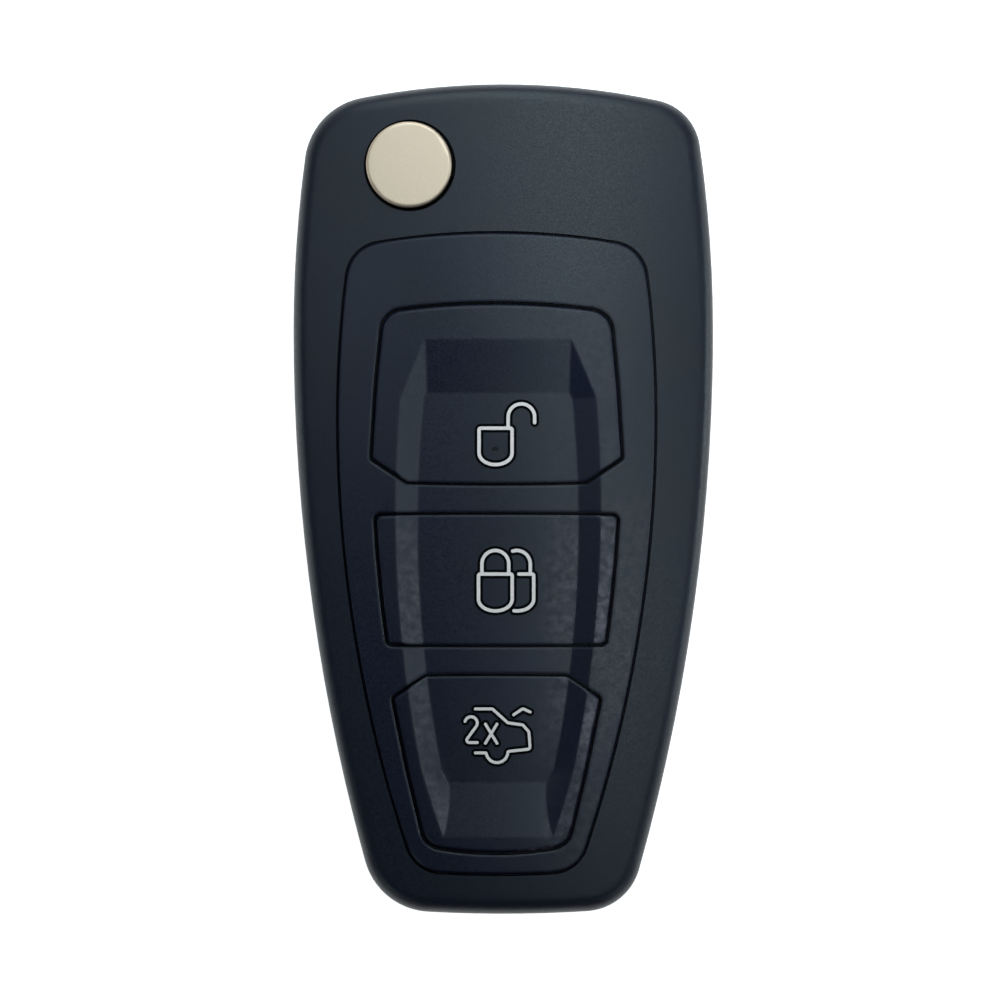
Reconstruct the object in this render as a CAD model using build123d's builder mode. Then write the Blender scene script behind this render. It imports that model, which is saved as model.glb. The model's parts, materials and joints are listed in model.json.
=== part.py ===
from build123d import *
import os
from math import acos, atan, atan2, cos, degrees, hypot, radians, sin, sqrt

# Flip key for a car, lying on its back: +Z is the button side, +Y the end that the
# blade turns about, and the blade is folded into the left side. Millimetres.

# Case
case_half_width = 19.0
widest_y = 15.3
side_radius_low = 181.0
side_radius_high = 118.0
top_y = 37.5
top_radius = 70.0
bottom_y = -37.5
bottom_radius = 130.0
top_left_corner = 6.3
top_right_corner = 4.8
bottom_left_corner = 6.2
bottom_right_corner = 5.2
case_thickness = 16.0
crown_across = 95.0
crown_along = 900.0
crown_spread = 16.0
parting_z = 7.2
front_edge_round = 1.5
back_edge_round = 2.8
wall = 1.6
skin = 1.5
inner_wall = 1.1
rib_thickness = 1.0
lip_height = 0.8
lip_inset = 0.85
lip_clearance = 0.05
core_start = 16.6
core_pitch = 7.8
core_count = 5

# Face plate and its seat in the front shell
panel_axis_x = -0.6
panel_half_width = 14.35
panel_widest_y = 7.5
panel_side_low = 123.6
panel_side_high = 101.0
panel_top_y = 24.0
panel_top_radius = 67.0
panel_bottom_y = -33.85
panel_bottom_radius = 90.0
panel_corner = 3.3
panel_seat_z = 13.4
panel_seat_width = 0.9
panel_seam = 0.17
seat_thickness = 0.9
plate_rim = 1.2
plate_collar = 0.9
plate_web = 0.8

# Keys: half widths and heights of the corners, from the face plate's axis
key_gap = 0.27
key_corner = 0.6
key_end_corner = 2.1
key_flange = 0.5
key_flange_reach = 0.5
key_flange_drop = 0.12
key_travel = 0.4
key_edge = 0.18
key_bow = 0.12
key_wall = 1.1
key_roof = 0.9
post_radius = 2.2
lock_top_y = -1.35
lock_bottom_y = -13.2
lock_half_top = 11.05
lock_half_bottom = 9.9
lock_y = (lock_top_y + lock_bottom_y) / 2
unlock_top_y = 17.7
unlock_shoulder_y = 16.9
unlock_wide_y = 3.6
unlock_bottom_y = 1.45
unlock_half_top = 10.35
unlock_half_wide = 11.4
unlock_half_bottom = 8.1
unlock_y = (unlock_top_y + unlock_bottom_y) / 2
boot_top_y = -15.9
boot_wide_y = -17.9
boot_bottom_y = -32.0
boot_half_top = 6.4
boot_half_wide = 9.45
boot_half_bottom = 6.5
boot_corner_y = -31.3
boot_y = (boot_top_y + boot_bottom_y) / 2

# Shallow valley that runs down the face plate and the keys
valley_depth = 0.77
valley_low_z = 14.75
valley_foot_z = 14.95
valley_rim_z = 15.6
valley_clear_z = 17.0
valley_foot = ((3.5, 15.3), (6.75, 9.0), (5.6, -24.4), (2.4, -31.4))
valley_foot_belly = (7.3, -5.0)
valley_rim = ((5.95, 15.3), (9.0, 9.2), (7.3, -24.4), (6.1, -31.4))
valley_rim_belly = (9.35, -5.0)
valley_top_y = 14.4
valley_top_foot_y = 9.6
valley_bottom_y = -30.5
valley_bottom_foot_y = -25.6

# Blade and the head that carries it, in the arm's own frame: the pivot at the origin,
# the blade along +Y and its cutting edge away from the case at +X
pivot_x = -8.44
pivot_y = 30.1
open_angle = 184.5
blade_width = 7.2
blade_thickness = 2.4
blade_inner = 2.5
blade_root = 7.6
blade_tip = 56.4
blade_point = 5.0
blade_groove_width = 2.6
blade_groove_depth = 0.55
blade_groove_shift = 1.0
blade_edge = 0.25
blade_nose = 1.4
blade_z = 7.2
head_radius = 6.3
arm_thickness = 6.4
arm_inner = 1.2
arm_outer_low = 10.2
arm_outer_high = 10.9
arm_shoulder = 4.6
arm_length = 15.0
arm_edge = 0.7
arm_round = 0.9
arm_clearance = 0.3
slot_clearance = 0.5
blade_fit = 0.03
roll_pin_radius = 0.9
roll_pin_bore = 0.5
roll_pin_slit = 0.4
roll_pin_y = 11.2

# Release button, its lock lugs and the flip spring
button_radius = 3.875
button_hole_radius = 4.15
button_proud = 0.6
button_travel = 1.5
stem_radius = 3.4
stem_bore = 2.95
lug_reach = 4.75
lug_width = 2.6
lug_bottom_z = 9.9
lug_top_z = 11.9
lug_clearance = 0.12
catch_depth = 0.8
collar_radius = 5.75
collar_height = 0.7
running_clearance = 0.05
spigot_radius = 2.0
carrier_floor = 1.0
spring_wire = 0.26
spring_radius = 2.55
spring_turns = 5
button_roof = 1.4
button_edge = 0.3

# Electronics
board_thickness = 1.0
board_z = 8.4
board_clearance = 0.3
switch_size = 4.2
switch_height = 1.5
plunger_radius = 0.9
plunger_height = 0.55
mat_thickness = 0.4
mat_z = 11.9
mat_pad_radius = 2.3
mat_dome_radius = 3.5
mat_clearance = 0.15
mat_legs = ((10.2, 6.5), (9.2, -12.5), (-3.2, -15.6), (6.2, -23.5))
mat_leg_radius = 0.9
pad_gap = 0.05
board_margin = 2.5
switch_floor = 0.3
switch_corner = 0.3
plunger_edge = 0.15
controller_x = 7.2
controller_y = 0.6
controller_size = (5.0, 5.0, 0.9)
crystal_x = 6.4
crystal_y = -7.4
crystal_size = (3.2, 2.5, 0.8)
package_edge = 0.15
tray_plate = 0.8
tray_window = 6.5
cell_step = 0.4
contact_width = 3.0
contact_reach = 1.4
chip_edge = 0.5
cell_radius = 10.0
cell_height = 3.2
cell_inset = 1.8
cell_drop = 14.4
cell_z = 2.7
cell_clearance = 0.15
tray_wall = 0.9
tray_plate_z = 6.6
contact_thickness = 0.25
support_radius = 1.5
tray_post_inset = 2.8
tray_low_posts = ((9.8, -21.5), (-2.2, -24.5))
chip_x = 3.4
chip_y = -13.6
chip_length = 11.6
chip_width = 6.0
chip_height = 3.0
cradle_wall = 0.9
cradle_clearance = 0.1
cradle_height = 2.2

# Fasteners and the keyring bar
screw_inset_x = 7.4
screw_inset_y = 8.9
screw_radius = 0.9
screw_head_radius = 1.9
screw_head_sunk = 0.35
screw_length = 8.6
screw_top_z = 9.6
screw_fit = 0.03
screw_recess = 2.0
screw_recess_depth = 0.9
ring_roof = 1.2
boss_radius = 2.3
ring_slot_half = 5.0
ring_slot_y = -29.3
ring_bar_radius = 1.0
ring_bar_y = -35.6
ring_bar_z = 1.9
ring_bar_bite = 1.4
ring_bar_edge = 0.2

screw_x = case_half_width - screw_inset_x
screw_y = top_y - screw_inset_y
board_top_y = screw_y - boss_radius - board_margin
cell_x = case_half_width - wall - cell_inset - cell_radius
cell_y = board_top_y - cell_drop
tray_posts = (
    (case_half_width - wall - tray_post_inset, board_top_y - support_radius),
    (-2 * support_radius, board_top_y - 2 * support_radius),
    *tray_low_posts,
)

os.makedirs("parts", exist_ok=True)


def save(part, name):
    part.label = name
    export_step(part, f"parts/{name}.step")


def side_x(y, half, wide_y, low, high):
    """Half width at height y of an outline whose two sides are arcs."""
    radius = high if y > wide_y else low
    return half - radius + sqrt(radius**2 - (y - wide_y) ** 2)


def end_y(x, apex, radius):
    """Height at x of the shallow arc that closes an end; a negative radius opens up."""
    drop = abs(radius) - sqrt(radius**2 - x**2)
    return apex - drop if radius > 0 else apex + drop


def end_corner(side, apex, radius):
    """Where the side arc meets the arc of an end."""
    x = side[0]
    for step in range(12):
        y = end_y(x, apex, radius)
        x = side_x(y, *side)
    return x, y


def barrel_outline(side, top, bottom):
    """Closed outline of six arcs, widest at side[1] and symmetrical about X = 0."""
    half, wide_y = side[0], side[1]
    top_x, high_y = end_corner(side, *top)
    bottom_x, low_y = end_corner(side, bottom[0], -bottom[1])
    upper_y = (wide_y + high_y) / 2
    lower_y = (wide_y + low_y) / 2
    with BuildSketch() as outline:
        with BuildLine():
            ThreePointArc((half, wide_y), (side_x(upper_y, *side), upper_y), (top_x, high_y))
            ThreePointArc((top_x, high_y), (0, top[0]), (-top_x, high_y))
            ThreePointArc((-top_x, high_y), (-side_x(upper_y, *side), upper_y), (-half, wide_y))
            ThreePointArc((-half, wide_y), (-side_x(lower_y, *side), lower_y), (-bottom_x, low_y))
            ThreePointArc((-bottom_x, low_y), (0, bottom[0]), (bottom_x, low_y))
            ThreePointArc((bottom_x, low_y), (side_x(lower_y, *side), lower_y), (half, wide_y))
        make_face()
    return outline.sketch


def arm_to_case(point):
    """A point of the arm's frame, with the blade folded, in the frame of the case."""
    turned = point.rotate(Axis.Z, open_angle)
    return turned.X + pivot_x, turned.Y + pivot_y


panel_side = (panel_half_width, panel_widest_y, panel_side_low, panel_side_high)


def case_outline(inset):
    """Outline of the case with its rounded corners, at an even distance inside it."""
    half = case_half_width - inset
    side = (half, widest_y, side_radius_low - inset, side_radius_high - inset)
    top = (top_y - inset, top_radius - inset)
    bottom = (bottom_y + inset, bottom_radius - inset)
    with BuildSketch() as plan:
        add(barrel_outline(side, top, bottom))
        for x, y, radius in (
            (-half, top_y, top_left_corner),
            (half, top_y, top_right_corner),
            (-half, bottom_y, bottom_left_corner),
            (half, bottom_y, bottom_right_corner),
        ):
            fillet(plan.vertices().sort_by_distance((x, y))[0], radius - inset)
    return plan.sketch


# Outline of the case, and the space inside its walls
with BuildSketch() as case_plan:
    add(case_outline(0))
with BuildSketch() as inner_plan:
    add(case_outline(wall))

# Everything under the crowned front surface
crown_centre_z = case_thickness - crown_across
crown_reach = max(top_y, -bottom_y) + wall
end_drop = crown_along - sqrt(crown_along**2 - crown_reach**2)
crown_plane = Plane(
    origin=(0, 0, crown_centre_z),
    x_dir=(0, 1, 0),
    z_dir=(cos(radians(crown_spread)), 0, sin(radians(crown_spread))),
)
with BuildPart() as crown:
    with BuildSketch(crown_plane):
        with BuildLine():
            left = (-crown_reach, crown_across - end_drop)
            right = (crown_reach, crown_across - end_drop)
            ThreePointArc(left, (0, crown_across), right)
            Polyline(right, (crown_reach, 0), (-crown_reach, 0), left)
        make_face()
    revolve(axis=Axis((0, 0, crown_centre_z), (0, 1, 0)), revolution_arc=2 * crown_spread)


def under_crown(depth):
    """Everything more than some depth under the crowned surface."""
    return crown.part.moved(Location((0, 0, -depth)))


# The closed outside of the case, before it is parted
with BuildPart() as case_block:
    with BuildSketch():
        add(case_plan.sketch)
    extrude(amount=case_thickness + wall)
    add(crown.part, mode=Mode.INTERSECT)
    fillet(case_block.faces().sort_by(Axis.Z)[-1].edges(), front_edge_round)
    fillet(case_block.faces().sort_by(Axis.Z)[0].edges(), back_edge_round)

# Plan of the blade carrier in the arm's frame
arm_bottom_z = blade_z - arm_thickness / 2
arm_top_z = blade_z + arm_thickness / 2
folded = Location((pivot_x, pivot_y, 0), (0, 0, open_angle))
opened = Location((pivot_x, pivot_y, 0))
shoulder_reach = hypot(arm_outer_low, arm_shoulder)
shoulder_angle = atan2(arm_shoulder, arm_outer_low) - acos(head_radius / shoulder_reach)
shoulder_start = (head_radius * cos(shoulder_angle), head_radius * sin(shoulder_angle))
with BuildSketch() as arm_plan:
    Circle(head_radius)
    with BuildLine():
        Polyline(
            (0, 0),
            shoulder_start,
            (arm_outer_low, arm_shoulder),
            (arm_outer_high, arm_length),
            (arm_inner, arm_length),
            (arm_inner, head_radius / 2),
            (0, 0),
        )
    make_face()
    shoulder = arm_plan.vertices().sort_by_distance((arm_outer_low, arm_shoulder))[0]
    fillet(shoulder, arm_shoulder / 2)
    armpit = arm_plan.vertices().sort_by_distance((arm_inner, head_radius))[0]
    fillet(armpit, arm_round)
    fillet(arm_plan.vertices().group_by(Axis.Y)[-1], arm_round)

# What the head and the arm sweep between folded and open, as a space in the case
swing_x = pivot_x + arm_outer_high + arm_clearance
beyond = 2 * case_half_width
with BuildSketch() as bay_plan:
    with BuildSketch(mode=Mode.PRIVATE) as roomy_arm:
        add(arm_plan.sketch)
        offset(amount=arm_clearance)
    add(roomy_arm.sketch.moved(folded))
    add(roomy_arm.sketch.moved(opened))
    inner_end = Vector(arm_inner - arm_clearance, arm_length + arm_clearance)
    outer_end = Vector(beyond, arm_length + arm_clearance)
    shoulder_end = (pivot_x + arm_outer_low + arm_clearance, pivot_y + arm_shoulder)
    with BuildLine():
        Polyline(
            (pivot_x, pivot_y),
            arm_to_case(inner_end),
            arm_to_case(outer_end),
            (-beyond, top_y + beyond),
            (swing_x, top_y + beyond),
            (swing_x, pivot_y + arm_length),
            shoulder_end,
            (pivot_x, pivot_y),
        )
    make_face()

# The narrower slot that the blade alone lies in
slot_inner = blade_inner - slot_clearance
slot_start = arm_length - slot_clearance
slot_end = blade_tip + slot_clearance
with BuildSketch() as slot_plan:
    with BuildSketch(mode=Mode.PRIVATE) as slot_box:
        with Locations((slot_inner, slot_start)):
            Rectangle(beyond, slot_end - slot_start, align=(Align.MIN, Align.MIN))
    add(slot_box.sketch.moved(folded))

with BuildSketch() as mechanism_plan:
    add(bay_plan.sketch)
    add(slot_plan.sketch)

with BuildSketch() as ring_slot_plan:
    with Locations((0, ring_slot_y)):
        Rectangle(2 * ring_slot_half, beyond, align=(Align.CENTER, Align.MAX))


def chamber_outline(inset):
    """Space for the electronics beside the mechanism, at an even distance inside it."""
    with BuildSketch() as plan:
        add(case_outline(wall + inset))
        with BuildSketch(mode=Mode.PRIVATE) as mechanism_walls:
            add(mechanism_plan.sketch)
            offset(amount=inner_wall + inset)
        add(mechanism_walls.sketch, mode=Mode.SUBTRACT)
    return plan.sketch


def lower_chamber_outline(inset):
    """The same space where it also keeps clear of the keyring slot."""
    with BuildSketch() as plan:
        add(chamber_outline(inset))
        with Locations((ring_slot_half + wall + inset, ring_slot_y + wall + inset)):
            Rectangle(beyond, beyond, align=(Align.MAX, Align.MAX), mode=Mode.SUBTRACT)
    return plan.sketch


def board_outline(inset):
    """Outline of the circuit board, at an even distance inside it."""
    low_y = ring_slot_y + wall + board_clearance + inset
    with BuildSketch() as plan:
        add(lower_chamber_outline(board_clearance + inset))
        with Locations((0, board_top_y - inset)):
            Rectangle(2 * beyond, beyond, align=(Align.CENTER, Align.MIN), mode=Mode.SUBTRACT)
        with Locations((0, low_y)):
            Rectangle(2 * beyond, beyond, align=(Align.CENTER, Align.MAX), mode=Mode.SUBTRACT)
    return plan.sketch


# Face plate, its seat and the outlines of the three keys
panel_place = Location((panel_axis_x, 0, 0))
with BuildSketch() as panel_plan:
    plate = barrel_outline(
        panel_side,
        (panel_top_y, panel_top_radius),
        (panel_bottom_y, panel_bottom_radius),
    )
    add(plate.moved(panel_place))
    fillet(panel_plan.vertices().group_by(Axis.Y)[0], panel_corner)
    fillet(panel_plan.vertices().group_by(Axis.Y)[-1], panel_corner)


def panel_offset(amount):
    with BuildSketch() as plan:
        add(panel_plan.sketch)
        offset(amount=amount)
    return plan.sketch


def bowed(start, end, share):
    """Point on the line between two corners, moved out so that the side bows a little."""
    x = start[0] + (end[0] - start[0]) * share + key_bow
    return x, start[1] + (end[1] - start[1]) * share


def key_outline(corners, rounds, top_apex, bottom_apex):
    """Key outline from its corners (half width, y), mirrored about the plate's axis."""
    top, bottom = corners[0], corners[-1]
    with BuildSketch() as plan:
        with BuildLine():
            ThreePointArc((-top[0], top[1]), (0, top_apex), top)
            right = Polyline(*corners)
            mirror(right, about=Plane.YZ)
            ThreePointArc(bottom, (0, bottom_apex), (-bottom[0], bottom[1]))
        make_face()
        for (x, y), radius in zip(corners, rounds):
            for across in (x, -x):
                fillet(plan.vertices().sort_by_distance((across, y))[0], radius)
    return plan.sketch.moved(panel_place)


key_plans = {
    "unlock": key_outline(
        (
            (unlock_half_top, unlock_shoulder_y),
            bowed((unlock_half_top, unlock_shoulder_y), (unlock_half_wide, unlock_wide_y), 1 / 2),
            (unlock_half_wide, unlock_wide_y),
            (unlock_half_bottom, unlock_bottom_y),
        ),
        (key_end_corner, key_corner, key_corner, key_corner),
        unlock_top_y,
        unlock_bottom_y - key_bow,
    ),
    "lock": key_outline(
        (
            (lock_half_top, lock_top_y),
            bowed((lock_half_top, lock_top_y), (lock_half_bottom, lock_bottom_y), 1 / 3),
            bowed((lock_half_top, lock_top_y), (lock_half_bottom, lock_bottom_y), 2 / 3),
            (lock_half_bottom, lock_bottom_y),
        ),
        (key_corner, key_corner, key_corner, key_corner),
        lock_top_y + key_bow / 2,
        lock_bottom_y - key_bow / 2,
    ),
    "boot": key_outline(
        (
            (boot_half_top, boot_top_y),
            (boot_half_wide, boot_wide_y),
            bowed((boot_half_wide, boot_wide_y), (boot_half_bottom, boot_corner_y), 1 / 2),
            (boot_half_bottom, boot_corner_y),
        ),
        (key_corner, key_corner, key_corner, key_end_corner),
        boot_top_y + key_bow / 2,
        boot_bottom_y,
    ),
}
key_centres = {"unlock": unlock_y, "lock": lock_y, "boot": boot_y}

# Valley down the plate and the keys: sloping flanks, wider at the rim, a floor crowned as
# the surface over it is, and a ramp at each end


def valley_outline(corners, belly):
    with BuildSketch() as plan:
        with BuildLine():
            top, throat, hip, toe = corners
            Line((-top[0], top[1]), top)
            Line(top, throat)
            ThreePointArc(throat, belly, hip)
            Line(hip, toe)
            Line(toe, (-toe[0], toe[1]))
            Line((-toe[0], toe[1]), (-hip[0], hip[1]))
            ThreePointArc((-hip[0], hip[1]), (-belly[0], belly[1]), (-throat[0], throat[1]))
            Line((-throat[0], throat[1]), (-top[0], top[1]))
        make_face()
    return plan.sketch.moved(panel_place)


def valley_flank(foot_point, rim_point, z):
    """Where the straight flank through a point of the foot and one of the rim is at z."""
    rise = (z - valley_foot_z) / (valley_rim_z - valley_foot_z)
    return tuple(foot + (rim - foot) * rise for foot, rim in zip(foot_point, rim_point))


def under_ramp(rim_y, foot_y):
    """Everything under the crowned surface when it is tilted down from rim_y to foot_y."""
    hinge_z = case_thickness - crown_along + sqrt(crown_along**2 - rim_y**2)
    hinge = Axis((0, rim_y, hinge_z), (1, 0, 0))
    return crown.part.rotate(hinge, degrees(atan(valley_depth / (rim_y - foot_y))))


with BuildPart() as valley:
    for z in (valley_low_z, valley_clear_z):
        with BuildSketch(Plane.XY.offset(z)):
            corners = [valley_flank(foot, rim, z) for foot, rim in zip(valley_foot, valley_rim)]
            add(valley_outline(corners, valley_flank(valley_foot_belly, valley_rim_belly, z)))
    loft(ruled=True)
    add(under_crown(valley_depth), mode=Mode.SUBTRACT)
    add(under_ramp(valley_top_y, valley_top_foot_y), mode=Mode.SUBTRACT)
    add(under_ramp(valley_bottom_y, valley_bottom_foot_y), mode=Mode.SUBTRACT)

# Hollow under the face plate, inside its rim and the collars round the key openings
with BuildPart() as plate_core:
    with BuildSketch(Plane.XY.offset(panel_seat_z)):
        add(panel_offset(-plate_rim))
        for plan in key_plans.values():
            with BuildSketch(mode=Mode.PRIVATE) as collar:
                add(plan)
                offset(amount=key_gap / 2 + plate_collar)
            add(collar.sketch, mode=Mode.SUBTRACT)
    extrude(amount=case_thickness - panel_seat_z)
    add(under_crown(valley_depth + plate_web), mode=Mode.INTERSECT)

# Face plate with the three key openings
with BuildPart() as button_panel:
    with BuildSketch(Plane.XY.offset(panel_seat_z)):
        add(panel_plan.sketch)
    extrude(amount=case_thickness - panel_seat_z + wall)
    add(crown.part, mode=Mode.INTERSECT)
    rim = button_panel.faces().sort_by(Axis.Z)[-1].edges()
    chamfer(rim, key_edge)
    for plan in key_plans.values():
        with BuildSketch(Plane.XY.offset(panel_seat_z)):
            add(plan)
            offset(amount=key_gap / 2)
        extrude(amount=case_thickness, mode=Mode.SUBTRACT)
    add(valley.part, mode=Mode.SUBTRACT)
    add(plate_core.part, mode=Mode.SUBTRACT)
save(button_panel.part, "button_panel")

# Key caps: a crowned hollow cap, a flange under the plate and a post on the mat's dome
flange_top_z = panel_seat_z - key_flange_drop
flange_bottom_z = flange_top_z - key_flange
for name, plan in key_plans.items():
    with BuildPart() as key_core:
        with BuildSketch(Plane.XY.offset(flange_bottom_z)):
            add(plan)
            offset(amount=-key_gap / 2 - key_wall, kind=Kind.INTERSECTION)
            with Locations((panel_axis_x, key_centres[name])):
                Circle(post_radius, mode=Mode.SUBTRACT)
        extrude(amount=case_thickness - flange_bottom_z)
        add(under_crown(valley_depth + key_roof), mode=Mode.INTERSECT)
    with BuildPart() as key:
        with BuildSketch(Plane.XY.offset(flange_bottom_z)):
            add(plan)
            offset(amount=-key_gap / 2)
        extrude(amount=case_thickness - flange_bottom_z + wall)
        add(crown.part, mode=Mode.INTERSECT)
        chamfer(key.faces().sort_by(Axis.Z)[-1].edges(), key_edge)
        with BuildSketch(Plane.XY.offset(flange_bottom_z)):
            add(plan)
            offset(amount=key_flange_reach)
        extrude(amount=key_flange)
        add(key_core.part, mode=Mode.SUBTRACT)
        add(valley.part, mode=Mode.SUBTRACT)
    save(key.part, f"{name}_key")

# Heights inside the case
bay_floor_z = arm_bottom_z - arm_clearance
bay_roof_z = arm_top_z + arm_clearance
slot_floor_z = blade_z - blade_thickness / 2 - slot_clearance
slot_roof_z = blade_z + blade_thickness / 2 + slot_clearance
seat_bottom_z = panel_seat_z - seat_thickness
mat_top_z = mat_z + mat_thickness
pivot_surface_z = crown_centre_z + sqrt(crown_across**2 - pivot_x**2)
pivot_surface_z -= crown_along - sqrt(crown_along**2 - pivot_y**2)
collar_top_z = arm_top_z + collar_height
lug_seat_z = lug_top_z + lug_clearance
pocket_floor_z = lug_bottom_z - button_travel - arm_clearance
stem_bottom_z = arm_bottom_z + carrier_floor + button_travel + slot_clearance

# Where the mouldings are cored out beside the blade, between ribs that guide it
with BuildSketch() as core_plan:
    add(inner_plan.sketch)
    with BuildSketch(mode=Mode.PRIVATE) as core_boxes:
        for place in range(core_count):
            low = core_start + place * core_pitch
            with Locations((slot_inner, low)):
                Rectangle(beyond, core_pitch - rib_thickness, align=(Align.MIN, Align.MIN))
    add(core_boxes.sketch.moved(folded), mode=Mode.INTERSECT)



def lip_outline(clearance, stop):
    """Band along the inner half of the wall, broken at the mechanism and the ring slot."""
    with BuildSketch() as band:
        add(case_outline(lip_inset - clearance))
        add(case_outline(wall), mode=Mode.SUBTRACT)
        with BuildSketch(mode=Mode.PRIVATE) as breaks:
            add(mechanism_plan.sketch)
            add(ring_slot_plan.sketch)
            offset(amount=stop)
        add(breaks.sketch, mode=Mode.SUBTRACT)
    return band.sketch


standing = (Align.CENTER, Align.CENTER, Align.MIN)


def prism(plan, low, high, mode=Mode.ADD):
    """Straight prism over a plan, between two heights, in the part being built."""
    extrude(plan.moved(Location((0, 0, low))), amount=high - low, mode=mode)


def post(x, y, radius, low, high, mode=Mode.ADD):
    """Upright cylinder between two heights, in the part being built."""
    with Locations((x, y, low)):
        Cylinder(radius, high - low, align=standing, mode=mode)


# Back shell: floor, walls, blade guides, keyring slot and the bosses on its floor
with BuildPart() as back_shell:
    add(case_block.part)
    split(bisect_by=Plane.XY.offset(parting_z), keep=Keep.BOTTOM)
    prism(lower_chamber_outline(0), skin, parting_z, Mode.SUBTRACT)
    prism(bay_plan.sketch, bay_floor_z, parting_z, Mode.SUBTRACT)
    prism(slot_plan.sketch, slot_floor_z, parting_z, Mode.SUBTRACT)
    prism(core_plan.sketch, skin, parting_z, Mode.SUBTRACT)
    prism(ring_slot_plan.sketch, 0, parting_z, Mode.SUBTRACT)
    with BuildSketch(Plane.YZ.offset(-ring_slot_half - ring_bar_bite)):
        with Locations((ring_bar_y, ring_bar_z)):
            Circle(ring_bar_radius + running_clearance)
    extrude(amount=2 * (ring_slot_half + ring_bar_bite), mode=Mode.SUBTRACT)
    post(pivot_x, pivot_y, spigot_radius, bay_floor_z - skin, arm_bottom_z + carrier_floor)
    post(screw_x, screw_y, boss_radius, skin, parting_z)
    for x, y in tray_posts:
        post(x, y, support_radius, skin, tray_plate_z)
    with BuildSketch(Plane.XY.offset(skin)):
        with Locations((chip_x, chip_y)):
            Rectangle(chip_length + 2 * cradle_wall, chip_width + 2 * cradle_wall)
            inner_length = chip_length + 2 * cradle_clearance
            inner_width = chip_width + 2 * cradle_clearance
            Rectangle(inner_length, inner_width, mode=Mode.SUBTRACT)
            Rectangle(chip_length / 2, chip_width + 2 * cradle_wall, mode=Mode.SUBTRACT)
    extrude(amount=cradle_height)
    post(screw_x, screw_y, screw_radius + running_clearance, 0, parting_z, Mode.SUBTRACT)
    head_depth = screw_head_radius - screw_radius
    with BuildSketch(Plane.XZ.offset(-screw_y)) as countersink:
        with BuildLine():
            Polyline(
                (screw_x, 0),
                (screw_x + screw_head_radius, 0),
                (screw_x + screw_head_radius, screw_head_sunk),
                (screw_x + screw_radius, screw_head_sunk + head_depth),
                (screw_x, screw_head_sunk + head_depth),
                (screw_x, 0),
            )
        make_face()
    revolve(axis=Axis((screw_x, screw_y, 0), (0, 0, 1)), mode=Mode.SUBTRACT)
    prism(lip_outline(0, inner_wall), parting_z, parting_z + lip_height)
save(back_shell.part, "back_shell")

# Plan of the button's stem with its two lock lugs, and of the notches that catch them
with BuildSketch() as lug_plan:
    Rectangle(2 * lug_reach, lug_width)
    Circle(lug_reach, mode=Mode.INTERSECT)
    Circle(stem_radius)
with BuildSketch() as notch_plan:
    add(lug_plan.sketch.moved(folded))
    add(lug_plan.sketch.moved(opened))
    offset(amount=lug_clearance)

# Front shell: skin, seat of the face plate, button hole with its catch ring
with BuildSketch() as upper_slot_plan:
    add(slot_plan.sketch)
    add(inner_plan.sketch, mode=Mode.INTERSECT)
    add(panel_offset(-panel_seat_width), mode=Mode.INTERSECT)

# Where the front shell is cored out under the crown, beyond the seat of the face plate
with BuildPart() as roof_core:
    with BuildSketch(Plane.XY.offset(seat_bottom_z)):
        add(chamber_outline(0))
        add(panel_offset(panel_seam + inner_wall), mode=Mode.SUBTRACT)
        with Locations((0, panel_top_y)):
            Rectangle(2 * beyond, 2 * beyond, align=(Align.CENTER, Align.MAX), mode=Mode.SUBTRACT)
        with Locations((screw_x, screw_y)):
            Circle(boss_radius, mode=Mode.SUBTRACT)
    extrude(amount=case_thickness - seat_bottom_z)
    add(under_crown(skin), mode=Mode.INTERSECT)

with BuildPart() as front_shell:
    add(case_block.part)
    split(bisect_by=Plane.XY.offset(parting_z), keep=Keep.TOP)
    prism(chamber_outline(0), parting_z + ring_roof, seat_bottom_z, Mode.SUBTRACT)
    prism(lower_chamber_outline(0), parting_z, parting_z + ring_roof, Mode.SUBTRACT)
    lip_room = lip_outline(lip_clearance, inner_wall - lip_clearance)
    prism(lip_room, parting_z, parting_z + lip_height + lip_clearance, Mode.SUBTRACT)
    add(roof_core.part, mode=Mode.SUBTRACT)
    prism(panel_offset(panel_seam), panel_seat_z, case_thickness, Mode.SUBTRACT)
    seat_opening = panel_offset(-panel_seat_width)
    prism(seat_opening, bay_roof_z + inner_wall, panel_seat_z, Mode.SUBTRACT)
    prism(upper_slot_plan.sketch, slot_roof_z + inner_wall, seat_bottom_z, Mode.SUBTRACT)
    prism(bay_plan.sketch, parting_z, bay_roof_z, Mode.SUBTRACT)
    prism(slot_plan.sketch, parting_z, slot_roof_z, Mode.SUBTRACT)
    post(screw_x, screw_y, boss_radius, parting_z, seat_bottom_z)
    screw_bore = screw_radius + running_clearance
    post(screw_x, screw_y, screw_bore, parting_z, screw_top_z, Mode.SUBTRACT)
    collar_bore = collar_radius + running_clearance
    post(pivot_x, pivot_y, collar_bore, bay_roof_z, lug_seat_z, Mode.SUBTRACT)
    prism(notch_plan.sketch, lug_seat_z, lug_seat_z + catch_depth, Mode.SUBTRACT)
    post(pivot_x, pivot_y, button_hole_radius, lug_seat_z, case_thickness, Mode.SUBTRACT)
save(front_shell.part, "front_shell")

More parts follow.
